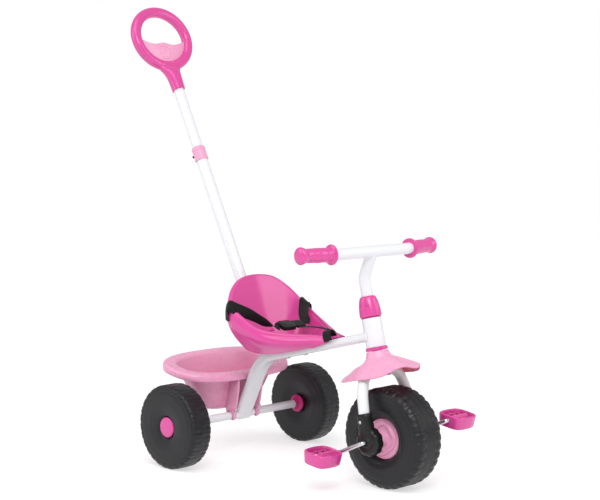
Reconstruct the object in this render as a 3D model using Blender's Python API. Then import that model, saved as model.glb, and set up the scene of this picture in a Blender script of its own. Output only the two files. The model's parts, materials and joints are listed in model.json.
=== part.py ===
"""A child's tricycle with a push handle, a belted bucket seat and a tipping rear bucket.

Metres. X points forward, Y to the rider's left, Z up. The pieces are worked out with the rear
axle at x = 0, and the empty "tricycle" then moves them all, so that the origin is on the ground
under the middle of the whole.
"""
import math

import bmesh
import bpy
import numpy as np
from mathutils import Matrix, Vector

# Clearances
GAP = 0.0003            # between pieces that touch
RUN = 0.0005            # between a turning piece and what it turns on

# Wheels
REAR_WHEEL_R = 0.0955
REAR_WHEEL_W = 0.056
TRACK = 0.419           # between the middles of the rear wheels
FRONT_WHEEL_R = 0.1087
FRONT_WHEEL_W = 0.090
WHEELBASE = 0.467
SHELL = 0.0032          # wall of the blown wheels
HUB_R = 0.023           # rear hub caps and bushes
FRONT_HUB_R = 0.0435

# Frame tubes
HEAD_LEAN = math.radians(14.0)
HEAD_LOW = 0.194        # ends of the head tube, along the steering axis from the front axle
HEAD_TOP = 0.257
HEAD_R = 0.0216
HEAD_BORE = 0.0172
MAIN_AT = 0.2185        # where the main tube meets the steering axis
MAIN_W = 0.048
MAIN_H = 0.020
MAIN_WALL = 0.002
LEG_LEAN = math.radians(26.6)
LEG_BEND_R = 0.090
CROSS_R = 0.0095
CROSS_BORE = 0.0062
AXLE_R = 0.004
AXLE_END = REAR_WHEEL_W / 2 - 0.0032     # how far the rear axle goes on past the wheels' middles
NUT_AT = REAR_WHEEL_W / 2 - 0.0067

# Push handle
ROD_LEAN = math.radians(26.3)
ROD_SETBACK = 0.0135    # from the frame's corner, forward along the main tube
SOCKET_R = 0.0168
SOCKET_L = 0.052
LOWER_ROD_R = 0.014
LOWER_ROD_WALL = 0.0012
LOWER_ROD_TOP = 0.508   # along the rod, from the main tube's middle line
UPPER_ROD_R = 0.0125
UPPER_ROD_WALL = 0.0014
UPPER_ROD_LOW = 0.300
COUPLING_LOW = LOWER_ROD_TOP - 0.005
COUPLING_L = 0.034
COUPLING_R = 0.0165
NECK_AT = 0.692
NECK_R = 0.0155
NECK_HOLD = 0.034       # how far the upper rod goes into the neck
RING_AT = 0.8315
RING_TURN = math.radians(7.5)    # the ring stands this much steeper than the rod
RING_HIGH = 0.0697
RING_WIDE = 0.0794
RING_TUBE_R = 0.0131
INSERT_T = 0.006

# Steering
STEERER_R = 0.0105
STEERER_BORE = 0.0080
STEERER_TOP = 0.298
TUBE_R = 0.0125
TUBE_WALL = 0.0017
COLLAR_R = 0.0238
COLLAR_TOP_R = 0.0150
COLLAR_H = 0.0445
RING_FLANGE_R = 0.0240
RING_FLANGE_T = 0.0072
BUSH_FLANGE_T = 0.002
BUSH_DEPTH = 0.014
STEM_LOW = 0.263
STEM_BEND_AT = 0.346
STEM_BEND_R = 0.035
BAR_X = 0.0365           # the bar's middle, from the steering axis
BAR_Z = 0.396            # and along it
BAR_STRAIGHT = 0.112    # from the middle to the bend
BAR_BEND_R = 0.060
BAR_SWEEP = math.radians(6.7)
BAR_RISE = math.radians(2.8)
BAR_END = 0.205
GRIP_L = 0.086
GRIP_R = 0.0153
GRIP_FLANGE_R = 0.0220
GRIP_KNOB_R = 0.0188

# Fork
FORK_TUBE_R = 0.0118
FORK_WALL = 0.0018
FORK_END_Y = 0.0755
FORK_END_Z = 0.054
FORK_KNEE_Y = 0.0705     # the legs bend here
FORK_KNEE_Z = 0.096
FORK_CROWN_Y = 0.0480
FORK_CROWN_Z = 0.164
FORK_CROWN_R = 0.052
TONGUE_T = 0.005
TONGUE_W = 0.0215
COVER_R = 0.0305
COVER_IN = 0.062
COVER_OUT = 0.088
COVER_TOP = 0.060
SKIRT_T = 0.0022

# Crank and pedals
CRANK_R = 0.0045
CRANK_ARM = 0.0735
CRANK_ANGLE = math.radians(24.0)
CRANK_BEND_R = 0.007
ARM_Y = 0.097
PEDAL_Y = 0.1408
PEDAL_W = 0.072         # across the tricycle
PEDAL_L = 0.066
PEDAL_H = 0.0275
PEDAL_WALL = 0.004
PEDAL_TILT = math.radians(8.0)      # at rest the pedals hang with their front edge a little low
SPINDLE_SHORT = 0.0062  # from a pedal's outer end to the end of its spindle

# Seat and belt
SEAT_T = 0.003
SEAT_BOLT_R = 0.003
SEAT_AHEAD = 0.0981      # the pan's middle, along the main tube from the frame's corner
SEAT_GAP = 0.0004       # between the main tube and the pan
SEAT_BOLTS = (-0.0155, 0.0412)   # from the pan's middle, along the main tube
SEAT_NOSE = 0.180       # from the pan's middle to where the lip would run out
STRAP_W = 0.027
STRAP_T = 0.0016
CROTCH_W = 0.0135
NOSE_BAND_W = 0.024
BUCKLE = (-0.001, 0.0, 0.0530)   # from the pan's middle

# Bucket
BUCKET_X = -0.0560       # the rim's middle
BUCKET_RIM_Z = 0.1150    # above the rear axle
BUCKET_FOOT_Z = 0.0110
BUCKET_SLOPE = 0.20     # the rim rises to the rear
BUCKET_T = 0.0024
RIB_Y = 0.0375
RIB_T = 0.0050
CLIP_WALL = 0.0032

STEPS_WHEEL = 32
STEPS_ROUND = 18
STEPS_SMALL = 12

FRONT_AXLE = Vector((WHEELBASE, 0.0, FRONT_WHEEL_R))
STEER_AXIS = Vector((-math.sin(HEAD_LEAN), 0.0, math.cos(HEAD_LEAN)))
MAIN_DIR = Vector((math.cos(HEAD_LEAN), 0.0, math.sin(HEAD_LEAN)))
MAIN_START = FRONT_AXLE + STEER_AXIS * MAIN_AT
REAR_AXLE = Vector((0.0, 0.0, REAR_WHEEL_R))
LEG_DIR = Vector((math.sin(LEG_LEAN), 0.0, math.cos(LEG_LEAN)))
ROD_DIR = Vector((-math.sin(ROD_LEAN), 0.0, math.cos(ROD_LEAN)))
CROSS_HALF = TRACK / 2 - REAR_WHEEL_W / 2 - 0.0130


def crossing(point_a, dir_a, point_b, dir_b):
    """Where two lines in the middle plane meet."""
    det = dir_a.x * -dir_b.z + dir_b.x * dir_a.z
    dx = point_b.x - point_a.x
    dz = point_b.z - point_a.z
    along = (dx * -dir_b.z + dir_b.x * dz) / det
    return point_a + dir_a * along


BAR_DIR = Vector((-math.tan(BAR_SWEEP), 1.0, math.tan(BAR_RISE))).normalized()


CORNER = crossing(MAIN_START, MAIN_DIR, REAR_AXLE, LEG_DIR)
ROD_FOOT = CORNER + MAIN_DIR * ROD_SETBACK
SEAT_RISE = (MAIN_H / 2 + SEAT_GAP + SEAT_T) / math.cos(HEAD_LEAN)
SEAT_MIDDLE = CORNER + MAIN_DIR * SEAT_AHEAD + Vector((0.0, 0.0, SEAT_RISE))
RING_MIDDLE = ROD_FOOT + ROD_DIR * RING_AT
RING_LEAN = ROD_LEAN - RING_TURN
BACK_X = RING_MIDDLE.x - RING_HIGH * math.sin(RING_LEAN) - RING_TUBE_R
CENTRE_X = (WHEELBASE + FRONT_WHEEL_R + BACK_X) / 2


# Helpers

def clear_scene():
    for item in list(bpy.data.objects):
        bpy.data.objects.remove(item, do_unlink=True)


def make_material(name, colour, roughness, metallic=0.0):
    material = bpy.data.materials.new(name)
    material.use_nodes = True
    shader = material.node_tree.nodes["Principled BSDF"]
    shader.inputs["Base Color"].default_value = (*colour, 1.0)
    shader.inputs["Roughness"].default_value = roughness
    shader.inputs["Metallic"].default_value = metallic
    return material


def empty(name, parent=None, at=(0.0, 0.0, 0.0), turn=(0.0, 0.0, 0.0)):
    holder = bpy.data.objects.new(name, None)
    bpy.context.scene.collection.objects.link(holder)
    holder.parent = parent
    holder.location = at
    holder.rotation_euler = turn
    return holder


def add(name, mesh, material, parent, smooth=35.0):
    """Put a mesh in the scene as one named sub-part of the body that its parent empty stands for."""
    item = bpy.data.objects.new(name, mesh)
    mesh.materials.clear()
    mesh.materials.append(material)
    mesh.shade_smooth()
    mesh.set_sharp_from_angle(angle=math.radians(smooth))
    bpy.context.scene.collection.objects.link(item)
    item.parent = parent
    return item


def cutter(name, mesh, parent):
    item = bpy.data.objects.new(name, mesh)
    bpy.context.scene.collection.objects.link(item)
    item.parent = parent
    item.hide_render = True
    item.display_type = "WIRE"
    return item


def boolean(target, other, operation="DIFFERENCE"):
    step = target.modifiers.new(other.name, "BOOLEAN")
    step.operation = operation
    step.solver = "EXACT"
    step.object = other
    return target


def finish_mesh(name, bm):
    bmesh.ops.remove_doubles(bm, verts=bm.verts, dist=1e-6)
    bmesh.ops.recalc_face_normals(bm, faces=bm.faces)
    mesh = bpy.data.meshes.new(name)
    bm.to_mesh(mesh)
    bm.free()
    return mesh


def turned(name, profile, steps, axis="Z"):
    """A turned solid: a closed outline of (radius, height) points, spun once round its axis."""
    bm = bmesh.new()
    verts = [bm.verts.new((r, 0.0, z)) for r, z in profile]
    for a, b in zip(verts, verts[1:] + verts[:1]):
        if profile[verts.index(a)][0] > 0 or profile[verts.index(b)][0] > 0:
            bm.edges.new((a, b))
    bmesh.ops.spin(bm, geom=list(bm.verts) + list(bm.edges), cent=(0, 0, 0), axis=(0, 0, 1),
                   angle=2 * math.pi, steps=steps, use_duplicate=False)
    bmesh.ops.remove_doubles(bm, verts=bm.verts, dist=1e-6)
    if axis == "Y":
        bmesh.ops.rotate(bm, verts=bm.verts, cent=(0, 0, 0), matrix=Matrix.Rotation(-math.pi / 2, 3, "X"))
    return finish_mesh(name, bm)


def loft(name, rows, closed=False):
    """A skin over rows of points, each row a closed ring. Its ends are capped unless it closes on itself."""
    bm = bmesh.new()
    rings = [[bm.verts.new(p) for p in row] for row in rows]
    pairs = list(zip(rings, rings[1:]))
    if closed:
        pairs.append((rings[-1], rings[0]))
    for low, high in pairs:
        count = len(low)
        for i in range(count):
            j = (i + 1) % count
            bm.faces.new((low[i], low[j], high[j], high[i]))
    if not closed:
        bm.faces.new(rings[0][::-1])
        bm.faces.new(rings[-1])
    return finish_mesh(name, bm)


def oval(half_w, half_h, steps, power=2.0):
    """Points of an oval: an ellipse at power 2, squarer above it."""
    points = []
    for i in range(steps):
        turn = 2 * math.pi * (i + 0.5) / steps
        c, s = math.cos(turn), math.sin(turn)
        points.append((half_w * math.copysign(abs(c) ** (2 / power), c),
                       half_h * math.copysign(abs(s) ** (2 / power), s)))
    return points


def flat_oval(width, height, steps):
    """A slot outline: two half circles joined by straight sides, its width along the first axis."""
    r = height / 2
    points = []
    half = steps // 2
    for side in (1, -1):
        for i in range(half):
            turn = -math.pi / 2 + math.pi * i / (half - 1)
            points.append((side * (width / 2 - r + r * math.cos(turn)), side * r * math.sin(turn)))
    return points


def frames(path, side):
    """For each point of a path: its direction, and two directions across it, the first near to side."""
    result = []
    for i, point in enumerate(path):
        before = path[max(i - 1, 0)]
        after = path[min(i + 1, len(path) - 1)]
        ahead = (after - before).normalized()
        across = (side - ahead * side.dot(ahead)).normalized()
        result.append((point, across, ahead.cross(across)))
    return result


def sweep_rows(path, section, side):
    return [[p + a * u + b * v for u, v in section] for p, a, b in frames(path, side)]


def sweep(name, path, section, side=Vector((0, 1, 0))):
    return loft(name, sweep_rows(path, section, side))


def pipe(name, path, outer, inner, side=Vector((0, 1, 0))):
    """A tube with a bore right through, from an outer and an inner section."""
    out_rows = sweep_rows(path, outer, side)
    in_rows = sweep_rows(path, inner, side)
    return loft(name, out_rows + in_rows[::-1], closed=True)


def box(name, low, high):
    bm = bmesh.new()
    bmesh.ops.create_cube(bm, size=1.0)
    low, high = Vector(low), Vector(high)
    for vert in bm.verts:
        vert.co = Vector((low[k] + (high[k] - low[k]) * (vert.co[k] + 0.5) for k in range(3)))
    return finish_mesh(name, bm)


def bend(start, corner, end, radius, steps):
    """Points of a round bend that joins two straight runs, from start by a corner to end."""
    into = (corner - start).normalized()
    out = (end - corner).normalized()
    turn = into.angle(out)
    back = radius * math.tan(turn / 2)
    first = corner - into * back
    normal = (out - into * out.dot(into)).normalized()
    middle = first + normal * radius
    return [middle - normal * radius * math.cos(turn * i / steps) + into * radius * math.sin(turn * i / steps)
            for i in range(steps + 1)]


def smooth_loop(points, count):
    """A closed smooth curve through points, read at count even parameters."""
    points = np.array(points, float)
    total = len(points)
    t = np.linspace(0, total, count, endpoint=False)
    k = np.floor(t).astype(int)
    f = (t - k)[:, None]
    a, b, c, d = (points[(k + shift) % total] for shift in (-1, 0, 1, 2))
    return 0.5 * (2 * b + (c - a) * f + (2 * a - 5 * b + 4 * c - d) * f ** 2
                  + (3 * b - a - 3 * c + d) * f ** 3)


def smooth_line(points, count):
    """An open smooth curve through points."""
    points = [2 * np.array(points[0]) - np.array(points[1])] + [np.array(p) for p in points] \
        + [2 * np.array(points[-1]) - np.array(points[-2])]
    points = np.array(points, float)
    t = np.linspace(0, len(points) - 3 - 1e-9, count)
    k = np.floor(t).astype(int)
    f = (t - k)[:, None]
    a, b, c, d = (points[k + shift] for shift in range(4))
    curve = 0.5 * (2 * b + (c - a) * f + (2 * a - 5 * b + 4 * c - d) * f ** 2
                   + (3 * b - a - 3 * c + d) * f ** 3)
    return [Vector(p) for p in curve]


def pin(name, radius, low, high, steps=STEPS_SMALL, axis="Z"):
    return turned(name, [(0, low), (radius, low), (radius, high), (0, high)], steps, axis)


def tube(name, outer, inner, low, high, steps=STEPS_ROUND, axis="Z"):
    return turned(name, [(inner, low), (outer, low), (outer, high), (inner, high)], steps, axis)


def screw_mesh(name, shank_r, length, head_r, head_h):
    """A screw that points down Z: a shank below a low rounded head."""
    profile = [(0, -length), (shank_r, -length), (shank_r, 0), (head_r, 0), (head_r * 0.75, head_h), (0, head_h)]
    return turned(name, profile, 10)



def circle(radius, steps):
    return oval(radius, radius, steps)


def put(item, at=None, direction=None):
    """Place an object, and turn its Z axis to a direction."""
    if at is not None:
        item.location = at
    if direction is not None:
        item.rotation_euler = Vector(direction).to_track_quat("Z", "Y").to_euler()
    return item


def join(target, pieces, operation="UNION"):
    for piece in pieces:
        boolean(target, piece, operation)
    return target


# The frame and what is fixed to it

def build_frame(trike, steering, rod, white):
    """The main tube and rear leg, cut back round the head tube, the cross tube and the rod's socket,
    which are rings that then close the cuts."""
    low_end = REAR_AXLE - LEG_DIR * (CROSS_R - 0.001)
    start = MAIN_START - MAIN_DIR * 0.0035
    path = [start] + bend(MAIN_START, CORNER, low_end, LEG_BEND_R, 6) + [low_end]
    frame = add("frame", sweep("frame", path, flat_oval(MAIN_W, MAIN_H, 12)), white, trike)
    inner_end = REAR_AXLE + LEG_DIR * (CROSS_R + 3 * MAIN_WALL)
    inner_path = [MAIN_START + MAIN_DIR * 0.003] + bend(MAIN_START, CORNER, inner_end, LEG_BEND_R, 6) + [inner_end]
    inner = flat_oval(MAIN_W - 2 * MAIN_WALL, MAIN_H - 2 * MAIN_WALL, 12)
    hollow = cutter("main_tube_hollow", sweep("main_tube_hollow", inner_path, inner), trike)
    head_mid = (HEAD_R + HEAD_BORE) / 2
    cross_mid = (CROSS_R + CROSS_BORE) / 2
    socket_mid = (SOCKET_R + LOWER_ROD_R + GAP) / 2
    head_core = cutter("head_core", pin("head_core", head_mid, HEAD_LOW - 0.02, HEAD_TOP + 0.02, 22), steering)
    cross_core = cutter("cross_core", pin("cross_core", cross_mid, -0.05, 0.05, 14, "Y"), trike)
    cross_core.location = REAR_AXLE
    rod_core = cutter("rod_core", pin("rod_core", socket_mid, -0.002, SOCKET_L + 0.01, 16), rod)
    for piece in (hollow, head_core, cross_core, rod_core):
        boolean(frame, piece)
    head = cutter("head_tube_ring", tube("head_tube_ring", HEAD_R, HEAD_BORE, HEAD_LOW, HEAD_TOP, 24), steering)
    cross = cutter("cross_tube_ring",
                   tube("cross_tube_ring", CROSS_R, CROSS_BORE, -CROSS_HALF, CROSS_HALF, 16, "Y"), trike)
    cross.location = REAR_AXLE
    socket = cutter("socket_ring",
                    tube("socket_ring", SOCKET_R, LOWER_ROD_R + GAP, -0.0015, SOCKET_L, STEPS_ROUND), rod)
    for piece in (head, cross, socket):
        boolean(frame, piece, "UNION")
    for along in SEAT_BOLTS:
        hole = cutter("seat_bolt_hole", pin("seat_bolt_hole", SEAT_BOLT_R + GAP, -0.03, 0.03, 10), trike)
        put(hole, bolt_place(along), (-math.sin(HEAD_LEAN), 0, math.cos(HEAD_LEAN)))
        boolean(frame, hole)
    return frame


def bolt_place(along):
    """A point of the main tube's middle line, from under the middle of the pan."""
    return CORNER + MAIN_DIR * (SEAT_AHEAD + along)


def build_rear_axle(trike, steel):
    half = TRACK / 2 + AXLE_END
    axle = add("rear_axle", pin("rear_axle", AXLE_R, -half, half, 12, "Y"), steel, trike)
    axle.location = REAR_AXLE
    for side, name in ((1, "left"), (-1, "right")):
        profile = [(AXLE_R + GAP, 0), (0.009, 0), (0.0085, 0.0012), (AXLE_R + GAP, 0.003)]
        nut = add("axle_push_nut_" + name, turned("axle_push_nut_" + name, profile, 12, "Y"), steel, trike)
        nut.location = REAR_AXLE + Vector((0, side * (TRACK / 2 + NUT_AT), 0))
        nut.rotation_euler = (0, 0, 0 if side > 0 else math.pi)


def build_headset(steering, dark_pink):
    low = [(STEERER_R + RUN, HEAD_LOW - RING_FLANGE_T), (RING_FLANGE_R, HEAD_LOW - RING_FLANGE_T),
           (RING_FLANGE_R, HEAD_LOW - GAP), (HEAD_BORE - GAP, HEAD_LOW - GAP),
           (HEAD_BORE - GAP, HEAD_LOW + BUSH_DEPTH), (STEERER_R + RUN, HEAD_LOW + BUSH_DEPTH)]
    add("head_bush_lower", turned("head_bush_lower", low, STEPS_ROUND), dark_pink, steering.parent)
    high = [(STEERER_R + RUN, HEAD_TOP - BUSH_DEPTH), (HEAD_BORE - GAP, HEAD_TOP - BUSH_DEPTH),
            (HEAD_BORE - GAP, HEAD_TOP + GAP), (HEAD_R, HEAD_TOP + GAP),
            (HEAD_R, HEAD_TOP + BUSH_FLANGE_T), (STEERER_R + RUN, HEAD_TOP + BUSH_FLANGE_T)]
    add("head_bush_upper", turned("head_bush_upper", high, STEPS_ROUND), dark_pink, steering.parent)
    for name in ("head_bush_lower", "head_bush_upper"):
        item = bpy.data.objects[name]
        item.location = FRONT_AXLE
        item.rotation_euler = (0, -HEAD_LEAN, 0)


def build_rod(rod, white, pale, dark, trike):
    add("push_rod_lower", tube("push_rod_lower", LOWER_ROD_R, LOWER_ROD_R - LOWER_ROD_WALL, 0.0, LOWER_ROD_TOP),
        white, rod)
    top = COUPLING_LOW + COUPLING_L
    profile = [(LOWER_ROD_R + GAP, COUPLING_LOW), (COUPLING_R - 0.0015, COUPLING_LOW),
               (COUPLING_R, COUPLING_LOW + 0.002), (COUPLING_R, top - 0.006), (COUPLING_R - 0.0018, top),
               (UPPER_ROD_R + GAP, top), (UPPER_ROD_R + GAP, LOWER_ROD_TOP + GAP),
               (LOWER_ROD_R + GAP, LOWER_ROD_TOP + GAP)]
    collar = add("rod_coupling", turned("rod_coupling", profile, STEPS_ROUND), pale, rod)
    hole = cutter("button_hole", pin("button_hole", BUTTON_R + GAP, 0, 0.03, 10), rod)
    put(hole, (0, 0, BUTTON_AT), BUTTON_DIR)
    boolean(collar, hole)
    button_body = empty("button_body", rod, Vector((0, 0, BUTTON_AT)))
    profile = [(0, 0.0150), (BUTTON_R, 0.0150), (BUTTON_R, 0.0188), (BUTTON_R * 0.6, 0.0196), (0, 0.0196)]
    button = add("coupling_button", turned("coupling_button", profile, 10), dark, button_body)
    put(button, None, BUTTON_DIR)


BUTTON_R = 0.0032
BUTTON_AT = 0.5185
BUTTON_DIR = Vector((-0.80, -0.60, 0.0))

# All points of the seat and the belt are from the middle of the pan
SEAT_RIM = [(-0.131, 0.0, 0.1550), (-0.123, 0.054, 0.1485), (-0.108, 0.0935, 0.1232), (-0.084, 0.1148, 0.0932),
            (-0.045, 0.1150, 0.0684), (0.0, 0.1070, 0.0488), (0.05, 0.079, 0.0412), (0.1, 0.0415, 0.0390),
            (0.132, 0.0215, 0.0380), (0.148, 0.0110, 0.0380), (0.155, 0.0, 0.0380)]
SEAT_FOOT = [(-0.071, 0.0, 0.0276), (-0.087, 0.04, 0.0196), (-0.092, 0.065, 0.0076), (-0.077, 0.0735, -0.0070),
             (-0.04, 0.0705, -0.0140), (0.0, 0.067, -0.0116), (0.05, 0.056, -0.0025), (0.088, 0.042, 0.0080),
             (0.106, 0.034, 0.0115), (0.122, 0.0200, 0.0290), (0.155, 0.0, 0.0366)]
SEAT_FLAT = 0.36        # the part of the pan that stays low
# The belt lies loosely, so its left strap crosses the rim further forward than its right one
LAP_PATHS = {
    "left": [(-0.070, 0.1222, 0.050), (-0.070, 0.1222, 0.070), (-0.070, 0.1210, 0.0835), (-0.0695, 0.1150, 0.0902),
             (-0.0655, 0.1060, 0.0925), (-0.054, 0.093, 0.0815), (-0.037, 0.076, 0.0695), (-0.017, 0.061, 0.0590),
             (-0.003, 0.0505, 0.0540), (-0.001, 0.0410, 0.0530)],
    "right": [(-0.0885, 0.1212, 0.056), (-0.0885, 0.1212, 0.076), (-0.0885, 0.1200, 0.0910), (-0.0875, 0.1140, 0.1010),
              (-0.080, 0.1050, 0.1050), (-0.065, 0.0950, 0.0955), (-0.044, 0.079, 0.0775), (-0.021, 0.0645, 0.0625),
              (-0.003, 0.0505, 0.0540), (-0.001, 0.0410, 0.0530)],
}
CROTCH_PATH = [(0.0175, 0.0098, 0.0530), (0.04, 0.008, 0.0515), (0.075, 0.004, 0.0512), (0.103, 0.001, 0.0528),
               (0.130, 0.0, 0.0550)]
NOSE_PATH = [(0.140, 0.0325, 0.0290), (0.1375, 0.033, 0.0385), (0.135, 0.031, 0.0450), (0.1325, 0.0235, 0.0490),
             (0.131, 0.012, 0.0515), (0.1305, 0.0, 0.0520)]


def mirrored(half):
    """Both halves of an outline given by its points on one side, from the back to the nose."""
    return list(half) + [(x, -y, z) for x, y, z in half[-2:0:-1]]


def on_seat(points):
    return [Vector(p) + SEAT_MIDDLE for p in points]


def seat_rows(count):
    rim = smooth_loop(on_seat(mirrored(SEAT_RIM)), count)
    foot = smooth_loop(on_seat(mirrored(SEAT_FOOT)), count)
    middle = np.array(SEAT_MIDDLE)
    spread = rim[:, :2] - middle[:2]
    spread /= np.linalg.norm(spread, axis=1)[:, None]
    narrow = np.clip((middle[0] + SEAT_NOSE - rim[:, 0]) / 0.06, 0.35, 1.0)
    rows = []
    for part in (0.36, 0.60, 0.80, 0.93):
        row = middle + (rim - middle) * part
        row[:, :2] -= spread * (0.0090 * part * narrow)[:, None]
        floor = middle[2] + (row[:, 0] - middle[0]) * math.tan(HEAD_LEAN)
        lift = max(0.0, (part - SEAT_FLAT) / (1 - SEAT_FLAT)) ** 1.35
        row[:, 2] = floor + (rim[:, 2] - floor) * lift
        rows.append(row)
    deep = np.clip((rim[:, 2] - foot[:, 2]) / 0.05, 0.15, 1.0)
    for outward, drop in ((-0.0090, 0.0), (-0.0020, 0.0008), (0.0015, 0.0070)):
        row = rim.copy()
        row[:, :2] += spread * (outward * narrow)[:, None]
        row[:, 2] -= drop * deep
        rows.append(row)
    shoulder = rows[-1]
    for part, bulge in ((0.45, 0.0165), (1.0, 0.0)):
        row = shoulder + (foot - shoulder) * part
        row[:, :2] += spread * (bulge * deep)[:, None]
        rows.append(row)
    return rows


def open_skin(name, rows, middle=None):
    """A skin over closed rows of points, seen from the side that its rows turn clockwise on."""
    bm = bmesh.new()
    rings = [[bm.verts.new(p) for p in row] for row in rows]
    count = len(rings[0])
    hub = bm.verts.new(middle) if middle is not None else None
    for i in range(count):
        j = (i + 1) % count
        if hub:
            bm.faces.new((hub, rings[0][j], rings[0][i]))
        for low, high in zip(rings, rings[1:]):
            bm.faces.new((low[i], low[j], high[j], high[i]))
    mesh = bpy.data.meshes.new(name)
    bm.to_mesh(mesh)
    bm.free()
    return mesh


def thicken(item, wall, offset=-1.0):
    step = item.modifiers.new("wall", "SOLIDIFY")
    step.thickness = wall
    step.offset = offset
    return item


def build_seat(trike, pink, steel):
    seat = add("seat", open_skin("seat", seat_rows(32), SEAT_MIDDLE), pink, trike, 60.0)
    thicken(seat, SEAT_T)
    up = Vector((-math.sin(HEAD_LEAN), 0, math.cos(HEAD_LEAN)))
    for i, along in enumerate(SEAT_BOLTS):
        hole = cutter("seat_hole", pin("seat_hole", SEAT_BOLT_R + GAP, -0.03, 0.03, 10), trike)
        put(hole, bolt_place(along), up)
        boolean(seat, hole)
        name = ("rear", "front")[i]
        low = MAIN_H / 2 + GAP
        bolt = turned("seat_bolt_" + name, [(0, -low - 0.0028), (0.0045, -low - 0.0028), (0.0058, -low - 0.0015),
                                            (0.0058, -low), (SEAT_BOLT_R, -low), (SEAT_BOLT_R, low + 0.0080),
                                            (0, low + 0.0080)], 12)
        put(add("seat_bolt_" + name, bolt, steel, trike), bolt_place(along), up)
        base = MAIN_H / 2 + 0.0046
        nut = tube("seat_nut_" + name, 0.0062, SEAT_BOLT_R * 1.155 + GAP, base, base + 0.0030, 6)
        put(add("seat_nut_" + name, nut, steel, trike), bolt_place(along), up)


def strap(name, path, widths, material, parent, sides):
    """Webbing along a path: at each point its width and the direction across it are given."""
    rows = []
    for i, point in enumerate(path):
        before = path[max(i - 1, 0)]
        after = path[min(i + 1, len(path) - 1)]
        ahead = (after - before).normalized()
        across = (sides[i] - ahead * sides[i].dot(ahead)).normalized()
        out = ahead.cross(across)
        rows.append([point + across * u * widths[i] / 2 + out * v * STRAP_T / 2
                     for u, v in ((1, 1), (-1, 1), (-1, -1), (1, -1))])
    return add(name, loft(name, rows), material, parent, 40.0)


def build_belt(trike, webbing, dark):
    for sign, name in ((1, "left"), (-1, "right")):
        path = smooth_line(on_seat([(x, sign * y, z) for x, y, z in LAP_PATHS[name]]), 18)
        sides = [Vector((1.0, 0.0, -0.62 * (1 - i / 17) ** 0.7)) for i in range(18)]
        strap("lap_strap_" + name, path, [STRAP_W] * 18, webbing, trike, sides)
    middle = SEAT_MIDDLE + Vector(BUCKLE)
    body = add("buckle_body", box("buckle_body", (-0.0155, -0.0380, -0.0055), (0.0155, 0.0040, 0.0055)), dark, trike)
    slot = cutter("buckle_slot", box("buckle_slot", (-0.0115, -0.0200, -0.0030), (0.0115, 0.0060, 0.0030)), trike)
    tongue = add("buckle_tongue", box("buckle_tongue", (-0.0112, -0.0120, -0.0027), (0.0112, 0.0380, 0.0027)),
                 dark, trike)
    for item in (body, slot, tongue):
        item.location = middle
    boolean(body, slot)
    loop = box("belt_loop", (-0.0175, 0.0060, -0.0046), (0.0175, 0.0135, 0.0046))
    loop = put(add("belt_loop", loop, dark, trike), middle)
    room = box("belt_loop_room", (-0.0116, 0.0, -0.0031), (0.0116, 0.02, 0.0031))
    boolean(loop, put(cutter("belt_loop_room", room, trike), middle))
    path = smooth_line(on_seat(CROTCH_PATH), 8)
    strap("crotch_strap", path, [CROTCH_W] * 8, webbing, trike, [Vector((0, 1, 0))] * 8)
    path = smooth_line(on_seat(NOSE_PATH + [(x, -y, z) for x, y, z in NOSE_PATH[-2::-1]]), 17)
    sides = [Vector((1, -0.6 * max(-1.0, min(1.0, p.y / 0.03)), 0.1)) for p in path]
    strap("nose_band", path, [NOSE_BAND_W] * 17, webbing, trike, sides)


# Steering

def fork_half(side):
    """The middle line of the fork, from the crown's middle down one leg, in the steering frame."""
    crown = Vector((0, 0, FORK_CROWN_Z))
    corner = Vector((0, side * FORK_CROWN_Y, FORK_CROWN_Z))
    knee = Vector((0, side * FORK_KNEE_Y, FORK_KNEE_Z))
    end = Vector((0, side * FORK_END_Y, FORK_END_Z))
    return bend(crown, corner, knee, FORK_CROWN_R, 3) + [knee, end]


def fork_path():
    return fork_half(1)[::-1] + fork_half(-1)


def build_fork(steering, white):
    side = Vector((1, 0, 0))
    fork = add("fork", pipe("fork", fork_path(), circle(FORK_TUBE_R, 12),
                            circle(FORK_TUBE_R - FORK_WALL, 12), side), white, steering)
    mid = (STEERER_R + STEERER_BORE) / 2
    core = cutter("steerer_core", pin("steerer_core", mid, FORK_CROWN_Z, FORK_CROWN_Z + 0.03, 22), steering)
    ring = tube("steerer_ring", STEERER_R, STEERER_BORE, FORK_CROWN_Z + 0.0053, STEERER_TOP)
    ring = cutter("steerer_ring", ring, steering)
    boolean(fork, core)
    boolean(fork, ring, "UNION")
    for sign in (1, -1):
        end = Vector((0, sign * FORK_END_Y, FORK_END_Z))
        low, high = (-TONGUE_W / 2, sign * FORK_END_Y - TONGUE_T / 2, -0.012), \
            (TONGUE_W / 2, sign * FORK_END_Y + TONGUE_T / 2, FORK_END_Z + 0.006)
        tongue = cutter("fork_tongue", box("fork_tongue", low, high), steering)
        boolean(fork, tongue, "UNION")
        hole = cutter("fork_hole", pin("fork_hole", CRANK_R + RUN, -0.01, 0.01, 14, "Y"), steering)
        hole.location = (0, sign * FORK_END_Y, 0)
        boolean(fork, hole)
        screw = cutter("cover_screw_hole", pin("cover_screw_hole", 0.0019, -0.016, 0.016, 8, "Y"), steering)
        screw.location = (COVER_SCREW_X, sign * FORK_END_Y, COVER_SCREW_Z)
        boolean(fork, screw)
    return fork


COVER_SCREW_Z = 0.0435
COVER_SCREW_X = -0.003


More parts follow.
